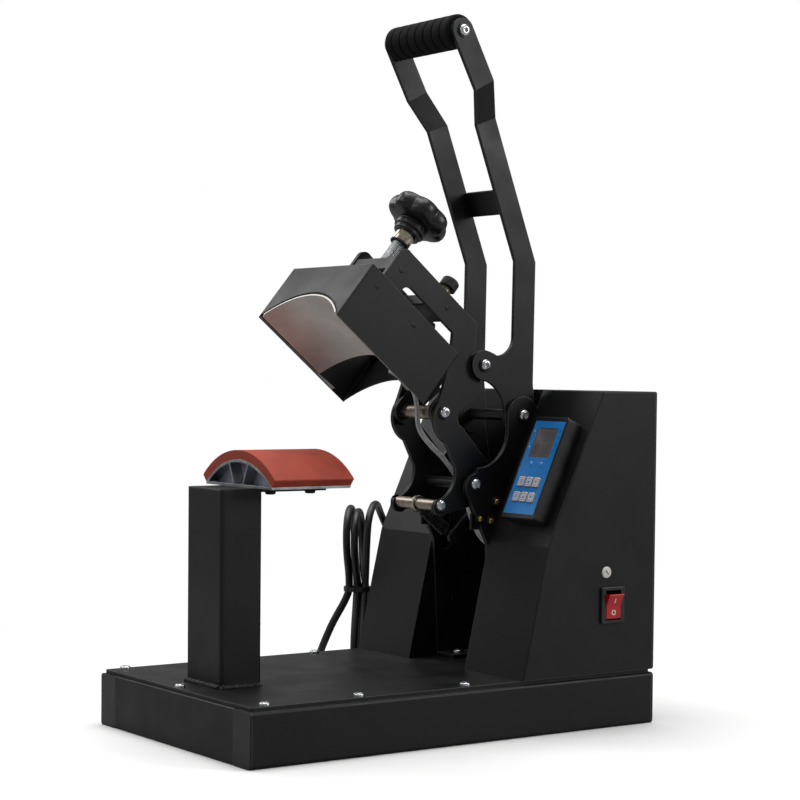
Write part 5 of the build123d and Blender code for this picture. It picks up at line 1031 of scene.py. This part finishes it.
CABLE_LINE = [(7, 2, 302), (9.6, 23, 291.5), (8, 31, 273), (4.5, 33.4, 253.6), (4.2, 46.5, 238.7),
              (5, 62, 226.4), (6, 76, 208.5), (9, 82.5, 188.5), (18, 84.6, 168.6),
              (31.5, 88, 152.6), (51, 99, 144.5)]
STRAND_RADIUS = 1.2
CABLE_SAMPLES = 160
TIE_AT = int(0.63 * (CABLE_SAMPLES - 1))
LEAD_TIE_WIDE, LEAD_TIE_HIGH, LEAD_TIE_WIRE = 2.75, 2.0, 0.75
PARTS_FROM, PARTS_OVER, PARTED_BY = 0.68, 0.2, 0.55

cable_route = route("cable_line", [tuple(c * MM for c in point) for point in CABLE_LINE])
smooth = bpy.data.meshes.new_from_object(cable_route)
cable_line = np.array([v.co for v in smooth.vertices], float) / MM
bpy.data.objects.remove(cable_route)
steps = np.concatenate([[0], np.cumsum(np.linalg.norm(np.diff(cable_line, axis=0), axis=1))])
walked = np.linspace(0, steps[-1], CABLE_SAMPLES)
cable_line = np.stack([np.interp(walked, steps, cable_line[:, k]) for k in range(3)], axis=1)
at_share = walked / steps[-1]

# glass sleeving over silicone: light grey, fine cross-wound ribs
sleeving = finish("grey_glass_sleeving", "#d3d3d6", "#b4b4b9", 0.55, patch=5, grain=0.5,
                  relief=0.3)
# the leads lie beside each other at the tie and roll round each other on the way to it
roll = radians(35) + 0.9 * np.sin(at_share * pi * 1.5)
parted = np.clip((at_share - PARTS_FROM) / PARTS_OVER, 0, 1)
apart = STRAND_RADIUS * (1.04 + PARTED_BY * parted)
drift = np.gradient(cable_line, axis=0)
drift /= np.linalg.norm(drift, axis=1, keepdims=True)
outward = np.cross(drift, (1.0, 0.0, 0.0))
outward /= np.linalg.norm(outward, axis=1, keepdims=True)
beside = np.cross(outward, drift)
sway = np.cos(roll)[:, None] * beside + np.sin(roll)[:, None] * outward
for word, side in (("inner", -1), ("outer", 1)):
    lead_line = cable_line + side * apart[:, None] * sway
    strand = wire(f"heater_lead_{word}", lead_line, STRAND_RADIUS, sides=14)
    strand.data.materials.append(sleeving)
    if side == 1:
        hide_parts("heater_cable")
    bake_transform(strand)

tie_ring = (cable_line[TIE_AT] + LEAD_TIE_WIDE * np.cos(angle)[:, None] * beside[TIE_AT]
            + LEAD_TIE_HIGH * np.sin(angle)[:, None] * outward[TIE_AT])
lead_tie = wire("lead_tie", np.vstack([tie_ring, tie_ring[:2]]), LEAD_TIE_WIRE)
place_piece(lead_tie, "press_base", black_nylon)


# ---------------------------------------------------------------- bench, light and background
# A plain pale bench top under large soft lamps; whatever looks past it sees white.

BENCH_HALF = 9.0
FADE_FROM, FADE_TO = 0.36, 0.75
GREY_BOUNCE = "#9a9a9a"
SKY_LIGHT = 0.30

bench_mesh = bpy.data.meshes.new("bench")
corners = [(a * BENCH_HALF, b * BENCH_HALF, 0) for a, b in ((-1, -1), (1, -1), (1, 1), (-1, 1))]
bench_mesh.from_pydata(corners, [], [(0, 1, 2, 3)])
bench = bpy.data.objects.new("bench", bench_mesh)
scene.collection.objects.link(bench)
# matt white laminate, which past arm's length looks as white as the room behind it
laminate = bpy.data.materials.new("white_laminate")
laminate.use_nodes = True
top = laminate.node_tree
top.nodes.clear()
place = add(top, "TexCoord").outputs["Object"]
away = add(top, "VectorMath", {0: place}, operation="LENGTH").outputs["Value"]
faded = add(top, "MapRange", {0: away, 1: FADE_FROM, 2: FADE_TO},
            interpolation_type="SMOOTHSTEP")
seen_straight = add(top, "LightPath").outputs["Is Camera Ray"]
# what bounces off the bench is as dim as from a grey one, so that black sides stay black
lit_share = add(top, "Math", {0: faded.outputs[0], 1: seen_straight}, operation="MULTIPLY")
mottle = add(top, "TexNoise", {"Vector": place, "Scale": 3.0, "Detail": 2.0}).outputs[0]
paper = add(top, "Mix", {0: mottle, 6: (*linear("#fafafa"), 1), 7: (*linear("#f5f5f4"), 1)},
            data_type="RGBA").outputs[2]
shown = add(top, "Mix", {0: seen_straight, 6: (*linear(GREY_BOUNCE), 1), 7: paper},
            data_type="RGBA").outputs[2]
matt = add(top, "BsdfPrincipled", {"Base Color": shown, "Roughness": 0.6})
bright = add(top, "Emission", {"Color": (1, 1, 1, 1), "Strength": 1.0})
blended = add(top, "MixShader", {0: lit_share.outputs[0], 1: matt.outputs[0],
                                 2: bright.outputs[0]})
add(top, "OutputMaterial", {"Surface": blended.outputs[0]})
bench.data.materials.append(laminate)

world = bpy.data.worlds.new("studio")
world.use_nodes = True
scene.world = world
sky = world.node_tree
sky.nodes.clear()
rays = add(sky, "LightPath").outputs
seen = add(sky, "Math", {0: rays["Is Camera Ray"], 1: rays["Is Transmission Ray"]},
           operation="MAXIMUM")
plain = add(sky, "Background", {"Color": (1, 1, 1, 1), "Strength": SKY_LIGHT})
white = add(sky, "Background", {"Color": (1, 1, 1, 1), "Strength": 1.0})
mixed = add(sky, "MixShader", {0: seen.outputs[0], 1: plain.outputs[0], 2: white.outputs[0]})
add(sky, "OutputWorld", {"Surface": mixed.outputs[0]})

# each lamp's name, its place, what it faces, its width and its watts
LAMPS = (
    ("front_lamp", (-0.7, -1.9, 1.5), (0, 0, 0.25), 1.3, 8.0),
    ("left_lamp", (-1.7, -0.5, 1.5), (0, 0, 0.3), 1.0, 10.0),
    ("side_lamp", (1.45, 1.3, 1.02), (0, 0, 0.5), 0.8, 14.0),
    ("top_lamp", (-0.1, 0.1, 2.3), (0, 0, 0.2), 1.6, 44.0),
)
for name, seat, aim, size, power in LAMPS:
    lamp_data = bpy.data.lights.new(name, "AREA")
    lamp_data.size = size
    lamp_data.energy = power
    lamp = bpy.data.objects.new(name, lamp_data)
    facing = (Vector(aim) - Vector(seat)).to_track_quat("-Z", "Y").to_matrix().to_4x4()
    lamp.matrix_world = Matrix.Translation(seat) @ facing
    scene.collection.objects.link(lamp)

scene.view_settings.view_transform = "Standard"
